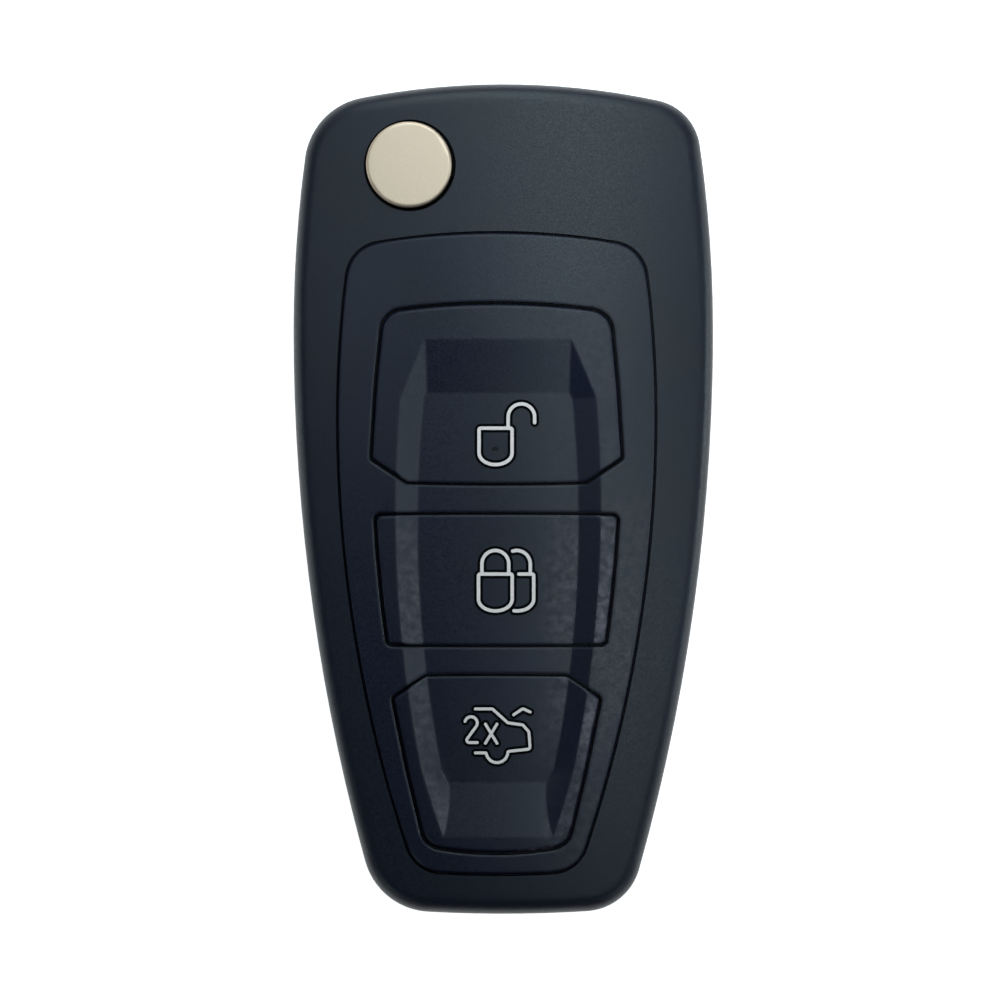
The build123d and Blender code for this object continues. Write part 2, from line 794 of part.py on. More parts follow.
# Blade carrier: head, arm, blade socket, pocket for the button's lugs and stem
with BuildPart() as blade_carrier:
    prism(arm_plan.sketch.moved(folded), arm_bottom_z, arm_top_z)
    rim = blade_carrier.faces().filter_by(Axis.Z).edges()
    fillet(rim, arm_edge)
    post(pivot_x, pivot_y, collar_radius, arm_top_z, collar_top_z)
    with BuildSketch(Plane.XY.offset(pocket_floor_z)):
        add(lug_plan.sketch.moved(folded))
        offset(amount=lug_clearance)
        with Locations((pivot_x, pivot_y)):
            Circle(button_radius + lug_clearance)
    extrude(amount=collar_top_z - pocket_floor_z, mode=Mode.SUBTRACT)
    floor_z = arm_bottom_z + carrier_floor
    post(pivot_x, pivot_y, stem_radius + lug_clearance, floor_z, pocket_floor_z, Mode.SUBTRACT)
    spigot_bore = spigot_radius + running_clearance
    post(pivot_x, pivot_y, spigot_bore, arm_bottom_z, floor_z, Mode.SUBTRACT)
    with BuildSketch(Plane.XY.offset(blade_z - blade_thickness / 2 - blade_fit)):
        with BuildSketch(mode=Mode.PRIVATE) as socket:
            with Locations((blade_inner - blade_fit, blade_root - blade_fit)):
                Rectangle(blade_width + 2 * blade_fit, arm_length, align=(Align.MIN, Align.MIN))
        add(socket.sketch.moved(folded))
    extrude(amount=blade_thickness + 2 * blade_fit, mode=Mode.SUBTRACT)
    roll_pin_place = arm_to_case(Vector(blade_inner + blade_width / 2, roll_pin_y))
    post(*roll_pin_place, roll_pin_radius + blade_fit, arm_bottom_z, arm_top_z, Mode.SUBTRACT)
save(blade_carrier.part, "blade_carrier")

# Key blade: a flat bar with a pointed end and a groove milled in each face
blade_middle = blade_inner + blade_width / 2
with BuildSketch() as blade_plan:
    with BuildLine():
        half = blade_width / 2
        Polyline(
            (blade_middle - half, blade_root),
            (blade_middle + half, blade_root),
            (blade_middle + half, blade_tip - blade_point),
            (blade_middle + blade_nose, blade_tip),
            (blade_middle - blade_nose, blade_tip),
            (blade_middle - half, blade_tip - blade_point),
            (blade_middle - half, blade_root),
        )
    make_face()
    fillet(blade_plan.vertices().group_by(Axis.Y)[-1], blade_nose / 2)
with BuildPart() as key_blade:
    blade_bottom_z = blade_z - blade_thickness / 2
    blade_top_z = blade_z + blade_thickness / 2
    prism(blade_plan.sketch.moved(folded), blade_bottom_z, blade_top_z)
    chamfer(key_blade.faces().filter_by(Axis.Z).edges(), blade_edge)
    for side, low_z in ((1, blade_top_z - blade_groove_depth), (-1, blade_bottom_z)):
        with BuildSketch(mode=Mode.PRIVATE) as groove:
            groove_x = blade_middle + side * blade_groove_shift
            with Locations((groove_x, arm_length + blade_point)):
                Rectangle(blade_groove_width, blade_tip, align=(Align.CENTER, Align.MIN))
        prism(groove.sketch.moved(folded), low_z, low_z + blade_groove_depth, Mode.SUBTRACT)
    post(*roll_pin_place, roll_pin_radius + blade_fit, arm_bottom_z, arm_top_z, Mode.SUBTRACT)
save(key_blade.part, "key_blade")

# Slotted spring pin that holds the blade
with BuildPart() as roll_pin:
    with BuildSketch(Plane.XY.offset(arm_bottom_z + arm_clearance)):
        with Locations(roll_pin_place):
            Circle(roll_pin_radius)
            Circle(roll_pin_bore, mode=Mode.SUBTRACT)
            Rectangle(
                roll_pin_radius,
                roll_pin_slit,
                align=(Align.MIN, Align.CENTER),
                mode=Mode.SUBTRACT,
            )
    extrude(amount=arm_thickness - 2 * arm_clearance)
save(roll_pin.part, "roll_pin")

# Release button: disc cap, two lock lugs and a hollow stem over the spring
button_top_z = pivot_surface_z + button_proud
with BuildPart() as release_button:
    post(pivot_x, pivot_y, button_radius, lug_bottom_z, button_top_z)
    fillet(release_button.faces().sort_by(Axis.Z)[-1].edges(), button_edge)
    prism(lug_plan.sketch.moved(folded), lug_bottom_z, lug_top_z)
    post(pivot_x, pivot_y, stem_radius, stem_bottom_z, lug_bottom_z)
    post(pivot_x, pivot_y, stem_bore, stem_bottom_z, button_top_z - button_roof, Mode.SUBTRACT)
save(release_button.part, "release_button")

# Flip spring: a coil of wire between the carrier's floor and the button's roof
spring_low_z = arm_bottom_z + carrier_floor + spring_wire + running_clearance
spring_high_z = button_top_z - button_roof - spring_wire - running_clearance
spring_height = spring_high_z - spring_low_z
with BuildPart() as flip_spring:
    with BuildLine():
        coil = Helix(
            spring_height / spring_turns,
            spring_height,
            spring_radius,
            center=(pivot_x, pivot_y, spring_low_z),
        )
    with BuildSketch(Plane(coil @ 0, z_dir=coil % 0)):
        RegularPolygon(spring_wire, 6)
    sweep(path=coil)
save(flip_spring.part, "flip_spring")

# Silicone mat under the keys: a web, a dome and a nib for each switch, legs on the board
board_top_z = board_z + board_thickness
switch_top_z = board_top_z + switch_height
plunger_top_z = switch_top_z + plunger_height
with BuildPart() as keypad_mat:
    prism(panel_offset(-panel_seat_width - mat_clearance), mat_z, mat_top_z)
    for y in key_centres.values():
        with Locations((panel_axis_x, y, mat_top_z)):
            dome_height = flange_bottom_z - pad_gap - mat_top_z
            Cone(mat_dome_radius, mat_pad_radius, dome_height, align=standing)
        post(panel_axis_x, y, plunger_radius, plunger_top_z + pad_gap, mat_z)
    for x, y in mat_legs:
        post(x, y, mat_leg_radius, board_top_z, mat_z)
save(keypad_mat.part, "keypad_mat")

# Circuit board, cut to the chamber beside the mechanism
with BuildPart() as circuit_board:
    prism(board_outline(0), board_z, board_top_z)
save(circuit_board.part, "circuit_board")

# One push switch and its plunger under each key
bore_radius = plunger_radius + running_clearance
bore_bottom_z = board_top_z + switch_floor
for name, y in key_centres.items():
    with BuildPart() as switch:
        with Locations((panel_axis_x, y, board_top_z)):
            Box(switch_size, switch_size, switch_height, align=standing)
        chamfer(switch.edges().filter_by(Axis.Z), switch_corner)
        post(panel_axis_x, y, bore_radius, bore_bottom_z, switch_top_z, Mode.SUBTRACT)
    save(switch.part, f"{name}_switch")
    with BuildPart() as plunger:
        plunger_low_z = bore_bottom_z + key_travel + running_clearance
        post(panel_axis_x, y, plunger_radius, plunger_low_z, plunger_top_z)
        fillet(plunger.faces().sort_by(Axis.Z)[-1].edges(), plunger_edge)
    save(plunger.part, f"{name}_plunger")

# Two packages on the board
for name, place, size in (
    ("microcontroller", (controller_x, controller_y), controller_size),
    ("quartz_crystal", (crystal_x, crystal_y), crystal_size),
):
    with BuildPart() as package:
        with Locations((*place, board_top_z)):
            Box(*size, align=standing)
        chamfer(package.faces().sort_by(Axis.Z)[-1].edges(), package_edge)
    save(package.part, name)

# Immobiliser transponder, lying in its cradle on the back shell's floor
with BuildPart() as transponder_chip:
    with Locations((chip_x, chip_y, skin)):
        Box(chip_length, chip_width, chip_height, align=standing)
    chamfer(transponder_chip.edges().filter_by(Axis.X), chip_edge)
save(transponder_chip.part, "transponder_chip")

# Tray that holds the board above and the cell below
cell_top_z = cell_z + cell_height
tray_top_z = tray_plate_z + tray_plate
ring_inner = cell_radius + cell_clearance
contact_slot = contact_width + 4 * cell_clearance
positive_y = cell_y - ring_inner - tray_wall - contact_reach
negative_y = positive_y - contact_reach
with BuildPart() as board_tray:
    prism(board_outline(0), tray_plate_z, board_z)
    prism(board_outline(tray_wall), tray_top_z, board_z, Mode.SUBTRACT)
    with BuildSketch(Plane.XY.offset(cell_z + cell_clearance)):
        with Locations((cell_x, cell_y)):
            Circle(ring_inner + tray_wall)
            Circle(ring_inner, mode=Mode.SUBTRACT)
        with Locations((cell_x, cell_y - ring_inner)):
            Rectangle(contact_slot, 4 * tray_wall, mode=Mode.SUBTRACT)
    extrude(amount=tray_plate_z - cell_z - cell_clearance)
    post(cell_x, cell_y, tray_window, tray_plate_z, tray_top_z, Mode.SUBTRACT)
    with BuildSketch(Plane.XY.offset(tray_plate_z)):
        with Locations((cell_x, positive_y), (cell_x, negative_y)):
            Rectangle(contact_slot, 4 * contact_thickness)
    extrude(amount=tray_plate, mode=Mode.SUBTRACT)
save(board_tray.part, "board_tray")

# Lithium cell with its stepped rim
with BuildPart() as coin_cell:
    post(cell_x, cell_y, cell_radius, cell_z + cell_step, cell_top_z)
    fillet(coin_cell.faces().sort_by(Axis.Z)[-1].edges(), cell_step)
    post(cell_x, cell_y, cell_radius - 2 * cell_step, cell_z, cell_z + cell_step)
save(coin_cell.part, "coin_cell")


def contact_strip(points):
    """Sprung strip of sheet metal through (y, z) points, centred on the cell."""
    with BuildPart() as strip:
        with BuildSketch(Plane.YZ.offset(cell_x - contact_width / 2)):
            with BuildLine():
                path = Polyline(*points)
                offset(path, amount=contact_thickness / 2, side=Side.BOTH)
            make_face()
        extrude(amount=contact_width)
    return strip.part


half_sheet = contact_thickness / 2
positive_contact = contact_strip(
    (
        (cell_y + contact_width, cell_top_z + half_sheet),
        (positive_y, cell_top_z + half_sheet),
        (positive_y, board_z - half_sheet),
    )
)
negative_contact = contact_strip(
    (
        (cell_y + contact_width, cell_z - half_sheet),
        (cell_y - cell_radius / 2, skin + half_sheet),
        (negative_y, skin + half_sheet),
        (negative_y, board_z - half_sheet),
    )
)
save(positive_contact, "positive_contact")
save(negative_contact, "negative_contact")

# Countersunk case screw with a cross recess, driven from the back
with BuildPart() as case_screw:
    with BuildSketch(Plane.XZ.offset(-screw_y)):
        with BuildLine():
            Polyline(
                (screw_x, screw_head_sunk),
                (screw_x + screw_head_radius - screw_fit, screw_head_sunk),
                (screw_x + screw_radius, screw_head_sunk + head_depth - screw_fit),
                (screw_x + screw_radius, screw_length - screw_radius),
                (screw_x + screw_radius / 3, screw_length),
                (screw_x, screw_length),
                (screw_x, screw_head_sunk),
            )
        make_face()
    revolve(axis=Axis((screw_x, screw_y, 0), (0, 0, 1)))
    with BuildSketch(Plane.XY.offset(screw_head_sunk)):
        with Locations((screw_x, screw_y)):
            Rectangle(screw_recess, screw_recess / 4)
            Rectangle(screw_recess / 4, screw_recess)
    extrude(amount=screw_recess_depth, mode=Mode.SUBTRACT)
save(case_screw.part, "case_screw")

# Steel bar across the keyring slot
with BuildPart() as keyring_bar:
    with BuildSketch(Plane.YZ.offset(-ring_slot_half - ring_bar_bite)):
        with Locations((ring_bar_y, ring_bar_z)):
            Circle(ring_bar_radius)
    extrude(amount=2 * (ring_slot_half + ring_bar_bite))
    chamfer(keyring_bar.faces().filter_by(Axis.X).edges(), ring_bar_edge)
save(keyring_bar.part, "keyring_bar")
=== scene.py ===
"""Surfaces, painted signs, light and camera for a folding car key.

The frame holds every solid of the key at its real place. Each class here takes one
sub-assembly of it and gives it its finished surface: smooth skins over the mouldings
and castings, a finish for each material, and the signs printed on the three keys.
Lengths are in millimetres where nothing else is said.
"""

import json
import logging
import math
from dataclasses import dataclass
from enum import Enum

import bmesh
import bpy
from mathutils import Matrix, Vector


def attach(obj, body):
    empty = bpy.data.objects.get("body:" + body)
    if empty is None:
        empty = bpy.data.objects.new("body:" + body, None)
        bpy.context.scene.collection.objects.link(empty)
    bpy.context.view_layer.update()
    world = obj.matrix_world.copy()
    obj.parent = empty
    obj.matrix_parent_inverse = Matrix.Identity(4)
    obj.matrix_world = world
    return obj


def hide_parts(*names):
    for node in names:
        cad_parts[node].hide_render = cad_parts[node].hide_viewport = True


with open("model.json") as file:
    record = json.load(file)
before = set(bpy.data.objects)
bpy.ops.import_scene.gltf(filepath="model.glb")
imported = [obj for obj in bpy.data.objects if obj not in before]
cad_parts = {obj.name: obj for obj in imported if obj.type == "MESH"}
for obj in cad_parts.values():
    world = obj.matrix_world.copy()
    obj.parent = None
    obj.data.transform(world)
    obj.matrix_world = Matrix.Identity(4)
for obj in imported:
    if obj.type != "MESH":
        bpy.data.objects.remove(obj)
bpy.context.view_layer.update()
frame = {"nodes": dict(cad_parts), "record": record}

LOG = logging.getLogger("flip_key")
MM = 0.001

# The sharpest fold that still shades as one surface: two facets of a round, and on the
# plate and the keys, whose valley has folds of nine degrees, two facets of a shallow crown
ROUND_FOLD = math.radians(32)
CROWN_FOLD = math.radians(6)
# Corners of a solid's triangles that are closer than this are one corner
WELD_DISTANCE = 0.0005 * MM
# How near its height a shell's rim has to lie
RIM_MARGIN = 0.01 * MM
# How far the moulds break the rims of the two shells, which leaves a line between them
RIM_BREAK = 0.1
# Degrees from one point of an arc to the next
ARC_STEP = 9
# How strong each finer layer of a noise is, as a share of the one above it
FINER_SHARE = 0.55
# How many such layers a noise has: for even grains, mixed ones, soft clouds and a powder
EVEN, MIXED, CLOUDY, POWDERY = 1.0, 2.0, 3.0, 4.0
# Degrees of half a circle
HALF_TURN = 180

Point = tuple[float, float]
Span = tuple[float, float]

# The spans of a noise's values that most patterns use, and the whole span of a share
BROAD: Span = (0.3, 0.7)
MIDDLE: Span = (0.35, 0.65)
SHARE: Span = (0.0, 1.0)


def linear(code: str) -> tuple[float, float, float, float]:
    """Turns an sRGB colour into the linear one that shaders work in, by the sRGB curve.

    Args:
        code: six hex digits after a hash sign.

    Returns:
        Red, green, blue and an alpha of one.
    """
    parts = [int(code[start:start + 2], 16) / 255 for start in (1, 3, 5)]
    levels = [p / 12.92 if p <= 0.04045 else ((p + 0.055) / 1.055) ** 2.4 for p in parts]
    return (*levels, 1.0)


def grain_inputs(size: float, layers: float) -> dict[str, float]:
    """Gives a noise's inputs from the width of its grains in millimetres and its layers."""
    return {"Scale": 1 / (size * MM), "Detail": layers, "Roughness": FINER_SHARE}


def span_inputs(source: Span, result: Span) -> dict[str, float]:
    """Gives the inputs that spread one span of values over another, held at both ends."""
    return {"From Min": source[0], "From Max": source[1], "To Min": result[0], "To Max": result[1]}


def add_node(
    tree: bpy.types.NodeTree,
    kind: str,
    inputs: dict | None = None,
    **settings: str | int | bool,
) -> bpy.types.Node:
    """Adds one node to a tree, with its settings, values and links.

    Args:
        tree: the material's or the geometry's node tree.
        kind: Blender's identifier of the node type.
        inputs: for each input, by name or number, its value or the socket that feeds it.
        settings: the node's own properties.

    Returns:
        The new node.
    """
    node = tree.nodes.new(kind)
    for name, value in settings.items():
        setattr(node, name, value)
    for socket, value in (inputs or {}).items():
        if isinstance(value, bpy.types.NodeSocket):
            tree.links.new(value, node.inputs[socket])
        else:
            node.inputs[socket].default_value = value
    return node


def link_new(name: str, data: bpy.types.ID) -> bpy.types.Object:
    """Makes an object at the origin.

    Args:
        name: the object's name.
        data: its mesh, curve, light or camera.

    Returns:
        The object, linked into the scene.
    """
    made = bpy.data.objects.new(name, data)
    bpy.context.scene.collection.objects.link(made)
    return made


class Lay(Enum):
    """Which way the fine lines of a worked metal surface run."""

    ALONG_BLADE = math.radians(4.5)
    ALONG_Y = 0.0
    ALONG_X = math.radians(90)


@dataclass(frozen=True)
class Finish:
    """A material: what the piece is made of and how its surface was made."""

    name: str
    colour: str
    roughness: float
    metallic: float = 0.0
    ior: float = 1.5

    def material(self) -> bpy.types.Material:
        """Gives the finish's material, made the first time that it is asked for."""
        return bpy.data.materials.get(self.name) or self.build()

    def build(self) -> bpy.types.Material:
        """Makes the material: the shader's own values, then the pattern of the surface.

        Returns:
            The new material.
        """
        made = bpy.data.materials.new(self.name)
        made.use_nodes = True
        tree = made.node_tree
        tree.nodes.clear()
        shader = add_node(
            tree,
            "ShaderNodeBsdfPrincipled",
            {"Base Color": linear(self.colour), "Roughness": self.roughness},
        )
        shader.inputs["Metallic"].default_value = self.metallic
        shader.inputs["IOR"].default_value = self.ior
        add_node(tree, "ShaderNodeOutputMaterial", {"Surface": shader.outputs["BSDF"]})
        made.diffuse_color = linear(self.colour)
        self.dress(tree, shader)
        return made

    def dress(self, tree: bpy.types.NodeTree, shader: bpy.types.Node) -> None:
        """Adds the pattern of the surface; each kind of finish has its own."""
        raise NotImplementedError

    def place(
        self,
        tree: bpy.types.NodeTree,
        stretch: Point = (1, 1),
        turn: float = 0.0,
    ) -> bpy.types.NodeSocket:
        """Gives the coordinates that a pattern reads, in metres in the key's frame.

        Args:
            tree: the material's node tree.
            stretch: how many times longer the pattern is along X and Y.
            turn: how far it is turned about Z, in radians.

        Returns:
            The socket with the coordinates.
        """
        where = add_node(tree, "ShaderNodeTexCoord").outputs["Object"]
        mapping = add_node(
            tree,
            "ShaderNodeMapping",
            {"Vector": where, "Rotation": (0, 0, turn), "Scale": (1 / stretch[0], 1 / stretch[1], 1)},
            vector_type="POINT",
        )
        return mapping.outputs["Vector"]

    def field(
        self,
        tree: bpy.types.NodeTree,
        where: bpy.types.NodeSocket,
        size: float,
        layers: float,
        source: Span,
        result: Span,
    ) -> bpy.types.NodeSocket:
        """Gives a field of cloudy noise, one span of which is spread over another.

        Args:
            tree: the material's node tree.
            where: the coordinates that it reads.
            size: about how wide its grains are, in millimetres.
            layers: how many finer layers it has.
            source: the span of the noise that is spread.
            result: the span that it is spread over.

        Returns:
            The socket with the field.
        """
        noise = add_node(tree, "ShaderNodeTexNoise", {"Vector": where, **grain_inputs(size, layers)})
        inputs = {"Value": noise.outputs["Fac"], **span_inputs(source, result)}
        return add_node(tree, "ShaderNodeMapRange", inputs).outputs["Result"]

    def tone(
        self,
        tree: bpy.types.NodeTree,
        where: bpy.types.NodeSocket,
        size: float,
        layers: float,
        source: Span,
        low: str,
        high: str,
    ) -> bpy.types.NodeSocket:
        """Gives a colour that drifts between two with a field of cloudy noise.

        Args:
            tree: the material's node tree.
            where: the coordinates that it reads.
            size: about how wide the noise's grains are, in millimetres.
            layers: how many finer layers it has.
            source: the span of the noise over which the colour drifts.
            low: the colour at the span's start.
            high: the colour at its end.

        Returns:
            The socket with the colour.
        """
        share = self.field(tree, where, size, layers, source, SHARE)
        inputs = {"Factor": share, "A": linear(low), "B": linear(high)}
        return add_node(tree, "ShaderNodeMix", inputs, data_type="RGBA").outputs["Result"]

    def relief(
        self,
        tree: bpy.types.NodeTree,
        where: bpy.types.NodeSocket,
        size: float,
        layers: float,
        depth: float,
        under: bpy.types.NodeSocket | None = None,
    ) -> bpy.types.NodeSocket:
        """Gives the relief of cloudy grains.

        Args:
            tree: the material's node tree.
            where: the coordinates that it reads.
            size: about how wide the grains are, in millimetres.
            layers: how many finer layers they have.
            depth: how deep the relief is, in millimetres.
            under: the relief that it lies on, if there is one.

        Returns:
            The socket with the surface's direction.
        """
        noise = add_node(tree, "ShaderNodeTexNoise", {"Vector": where, **grain_inputs(size, layers)})
        inputs = {"Height": noise.outputs["Fac"], "Distance": depth * MM, "Strength": 1.0}
        if under is not None:
            inputs["Normal"] = under
        return add_node(tree, "ShaderNodeBump", inputs).outputs["Normal"]


@dataclass(frozen=True)
class MouldedPlastic(Finish):
    """Thermoplastic from a spark-eroded mould: matt, with an even fine grain.

    The grain scatters the light into a broad soft sheen. In patches, on the faces that turn to the right,
    towards the light, pale flecks are painted highlights: glints of the grain's tips.
    """

    # The real grain is under 0.1 mm wide: it is drawn as coarse as it needs to be to show
    grain: float = 0.22
    depth: float = 0.006
    swing: float = 0.06
    cloud: str = "#000000"
    cloud_size: float = 9.0
    # The colour, strength and size of the painted highlights, glints of the grain on faces turned to the
    # light
    painted_glint: str = "#54464f"
    painted_glint_share: float = 0.3
    painted_glint_size: float = 0.75
    patch_size: float = 6.0
    crease: float = 0.0
    crease_rays: int = 4

    def dress(self, tree: bpy.types.NodeTree, shader: bpy.types.Node) -> None:
        """Adds slow clouds of tone, painted highlights on the grain, softened creases and two sizes of
        grain.

        Args:
            tree: the material's node tree.
            shader: the material's shader.
        """
        where = self.place(tree)
        body = self.tone(tree, where, self.cloud_size, CLOUDY, MIDDLE, self.cloud, self.colour)
        # Mixes in the pale painted highlights, glints of the grain
        colour = add_node(
            tree,
            "ShaderNodeMix",
            {"Factor": self.painted_glints(tree, where), "A": body, "B": linear(self.painted_glint)},
            data_type="RGBA",
        ).outputs["Result"]
        tree.links.new(colour, shader.inputs["Base Color"])
        gloss = (self.roughness - self.swing, self.roughness + self.swing)
        rough = self.field(tree, where, self.grain, EVEN, BROAD, gloss)
        tree.links.new(rough, shader.inputs["Roughness"])
        # The mould's own small radius, if it has one, rounds how creases take the light
        rounded = None
        if self.crease:
            radius = {"Radius": self.crease * MM}
            bevel = add_node(tree, "ShaderNodeBevel", radius, samples=self.crease_rays)
            rounded = bevel.outputs["Normal"]
        coarse = self.relief(tree, where, self.grain, EVEN, self.depth, rounded)
        # The finer grain is a third as wide as the coarse one and a quarter as deep
        fine = self.relief(tree, where, self.grain / 3, EVEN, self.depth / 4, coarse)
        tree.links.new(fine, shader.inputs["Normal"])

    def painted_glints(self, tree: bpy.types.NodeTree, where: bpy.types.NodeSocket) -> bpy.types.NodeSocket:
        """Gives how far the plastic takes on the colour of the painted highlights.

        They are painted glints: the peaks of a noise, in patches that follow a slower one. They lie on
        faces that lean to the right, towards the light, less on steep ones, and most below the key's
        middle.

        Args:
            tree: the material's node tree.
            where: the coordinates that the pattern reads.

        Returns:
            The socket with the share, from zero to the finish's own.
        """
        # The painted glints lie where the surface leans to the right, towards the light
        peaks, gathered = (0.36, 0.70), (0.25, 0.5)
        leaning, steep, steep_share = (0.03, 0.1), (0.12, 0.2), 0.3
        downwards, upper_share = (2 * MM, -8 * MM), 0.1
        share = self.field(tree, where, self.painted_glint_size, MIXED, peaks, SHARE)
        masks = [self.field(tree, where, self.patch_size, EVEN, gathered, (0.0, self.painted_glint_share))]
        facing = add_node(tree, "ShaderNodeTexCoord").outputs["Normal"]
        across = add_node(tree, "ShaderNodeSeparateXYZ", {"Vector": facing}).outputs["X"]
        along = add_node(tree, "ShaderNodeSeparateXYZ", {"Vector": where}).outputs["Y"]
        ramps = (
            (across, leaning, SHARE),
            (across, steep, (1.0, steep_share)),
            (along, downwards, (upper_share, 1.0)),
        )
        for value, source, result in ramps:
            ramp = add_node(tree, "ShaderNodeMapRange", {"Value": value, **span_inputs(source, result)})
            masks.append(ramp.outputs["Result"])
        for mask in masks:
            share = add_node(tree, "ShaderNodeMath", {0: share, 1: mask}, operation="MULTIPLY").outputs[0]
        return share


@dataclass(frozen=True)
class SatinCasting(Finish):
    """Die-cast zinc with a satin metallic lacquer: pale, warm and evenly soft.

    Below the lacquer's foot its side is painted dark: painted shade, down in the button's hole.
    """

    # Real flakes are about 0.03 mm wide: they too are drawn coarser, to show
    flake: float = 0.12
    flake_shade: str = "#dbc1ab"
    peel: float = 0.8
    depth: float = 0.002
    foot: float = 12.2
    foot_blur: float = 0.1
    # The colour of the painted shade on the side below the foot, down in the hole
    painted_shade_colour: str = "#1c1b19"

    def dress(self, tree: bpy.types.NodeTree, shader: bpy.types.Node) -> None:
        """Adds the flakes of the lacquer, the painted shade below its foot, and its slight orange peel.

        Args:
            tree: the material's node tree.
            shader: the material's shader.
        """
        where = self.place(tree)
        lacquer = self.tone(tree, where, self.flake, EVEN, MIDDLE, self.flake_shade, self.colour)
        # Below the foot the colour turns dark: painted shade in the hole
        height = add_node(tree, "ShaderNodeSeparateXYZ", {"Vector": where}).outputs["Z"]
        edge = ((self.foot - self.foot_blur) * MM, (self.foot + self.foot_blur) * MM)
        above = add_node(tree, "ShaderNodeMapRange", {"Value": height, **span_inputs(edge, SHARE)})
        colour = add_node(
            tree,
            "ShaderNodeMix",
            {"Factor": above.outputs["Result"], "A": linear(self.painted_shade_colour), "B": lacquer},
            data_type="RGBA",
        ).outputs["Result"]
        tree.links.new(colour, shader.inputs["Base Color"])
        peel = self.relief(tree, where, self.peel, EVEN, self.depth)
        flakes = self.relief(tree, where, self.flake, EVEN, self.depth / 2, peel)
        tree.links.new(flakes, shader.inputs["Normal"])


@dataclass(frozen=True)
class WorkedSteel(Finish):
    """Steel that was milled, ground or drawn: fine parallel lines and a crisp sheen."""

    lay: Lay = Lay.ALONG_Y
    # Real lines are about 0.02 mm apart: they too are drawn coarser, to show
    line: float = 0.06
    length: float = 40
    depth: float = 0.0015
    swing: float = 0.07
    shade: str = "#8f8d88"

    def dress(self, tree: bpy.types.NodeTree, shader: bpy.types.Node) -> None:
        """Adds lines, far longer than they are wide, in tone, gloss and relief.

        Args:
            tree: the material's node tree.
            shader: the material's shader.
        """
        where = self.place(tree, (1, self.length), self.lay.value)
        tone = self.tone(tree, where, self.line, MIXED, BROAD, self.shade, self.colour)
        tree.links.new(tone, shader.inputs["Base Color"])
        gloss = (self.roughness - self.swing, self.roughness + self.swing)
        rough = self.field(tree, where, self.line, MIXED, BROAD, gloss)
        tree.links.new(rough, shader.inputs["Roughness"])
        lines = self.relief(tree, where, self.line, MIXED, self.depth)
        tree.links.new(lines, shader.inputs["Normal"])


@dataclass(frozen=True)
class PlatedMetal(Finish):
    """Sheet or turned metal under a thin plating: smooth, with faint tumbling marks."""

    shade: str = "#8f8d88"
    patch: float = 3.0
    mark: float = 0.15
    depth: float = 0.001

    def dress(self, tree: bpy.types.NodeTree, shader: bpy.types.Node) -> None:
        """Adds soft patches of tone and the marks of tumbling.

        Args:
            tree: the material's node tree.
            shader: the material's shader.
        """
        where = self.place(tree)
        patches = self.tone(tree, where, self.patch, CLOUDY, MIDDLE, self.shade, self.colour)
        tree.links.new(patches, shader.inputs["Base Color"])
        marks = self.relief(tree, where, self.mark, MIXED, self.depth)
        tree.links.new(marks, shader.inputs["Normal"])


@dataclass(frozen=True)
class SolderMask(Finish):
    """Fibreglass board under green lacquer, with copper tracks that show through it."""

    track: str = "#1f6b3c"
    pitch: float = 2.2
    border: Span = (0.32, 0.36)
    depth: float = 0.02

    def dress(self, tree: bpy.types.NodeTree, shader: bpy.types.Node) -> None:
        """Adds the tracks as the borders of a square-cornered cell pattern.

        Args:
            tree: the material's node tree.
            shader: the material's shader.
        """
        where = self.place(tree)
        cells = add_node(
            tree,
            "ShaderNodeTexVoronoi",
            {"Vector": where, "Scale": 1 / (self.pitch * MM)},
            distance="CHEBYCHEV",
            feature="F1",
        ).outputs["Distance"]
        border = {"Value": cells, **span_inputs(self.border, SHARE)}
        tracks = add_node(tree, "ShaderNodeMapRange", border).outputs["Result"]
        tones = {"Factor": tracks, "A": linear(self.colour), "B": linear(self.track)}
        colour = add_node(tree, "ShaderNodeMix", tones, data_type="RGBA").outputs["Result"]
        tree.links.new(colour, shader.inputs["Base Color"])
        heights = {"Height": tracks, "Distance": self.depth * MM, "Strength": 1.0}
        raised = add_node(tree, "ShaderNodeBump", heights).outputs["Normal"]
        tree.links.new(raised, shader.inputs["Normal"])


@dataclass(frozen=True)
class SoftMoulding(Finish):
    """Silicone rubber or moulded epoxy: dull, with a powdery bloom."""

    bloom: str = "#3c3d40"
    bloom_size: float = 2.5
    bloom_span: Span = (0.4, 0.7)
    tooth: float = 0.1
    depth: float = 0.003

    def dress(self, tree: bpy.types.NodeTree, shader: bpy.types.Node) -> None:
        """Adds the bloom in soft patches and a very fine relief.

        Args:
            tree: the material's node tree.
            shader: the material's shader.
        """
        where = self.place(tree)
        bloom = self.tone(tree, where, self.bloom_size, POWDERY, self.bloom_span, self.colour, self.bloom)
        tree.links.new(bloom, shader.inputs["Base Color"])
        tooth = self.relief(tree, where, self.tooth, EVEN, self.depth)
        tree.links.new(tooth, shader.inputs["Normal"])


@dataclass(frozen=True)
class PrintedInk(Finish):
    """Pad-printed ink, cured on the plastic: opaque, a little uneven at its surface."""

    thin: str = "#b9beb4"
    film_size: float = 0.25
    tooth: float = 0.08
    depth: float = 0.002

    def dress(self, tree: bpy.types.NodeTree, shader: bpy.types.Node) -> None:
        """Adds the slight unevenness of the ink's film.

        Args:
            tree: the material's node tree.
            shader: the material's shader.
        """
        where = self.place(tree)
        film = self.tone(tree, where, self.film_size, MIXED, BROAD, self.thin, self.colour)
        tree.links.new(film, shader.inputs["Base Color"])
        tooth = self.relief(tree, where, self.tooth, EVEN, self.depth)
        tree.links.new(tooth, shader.inputs["Normal"])


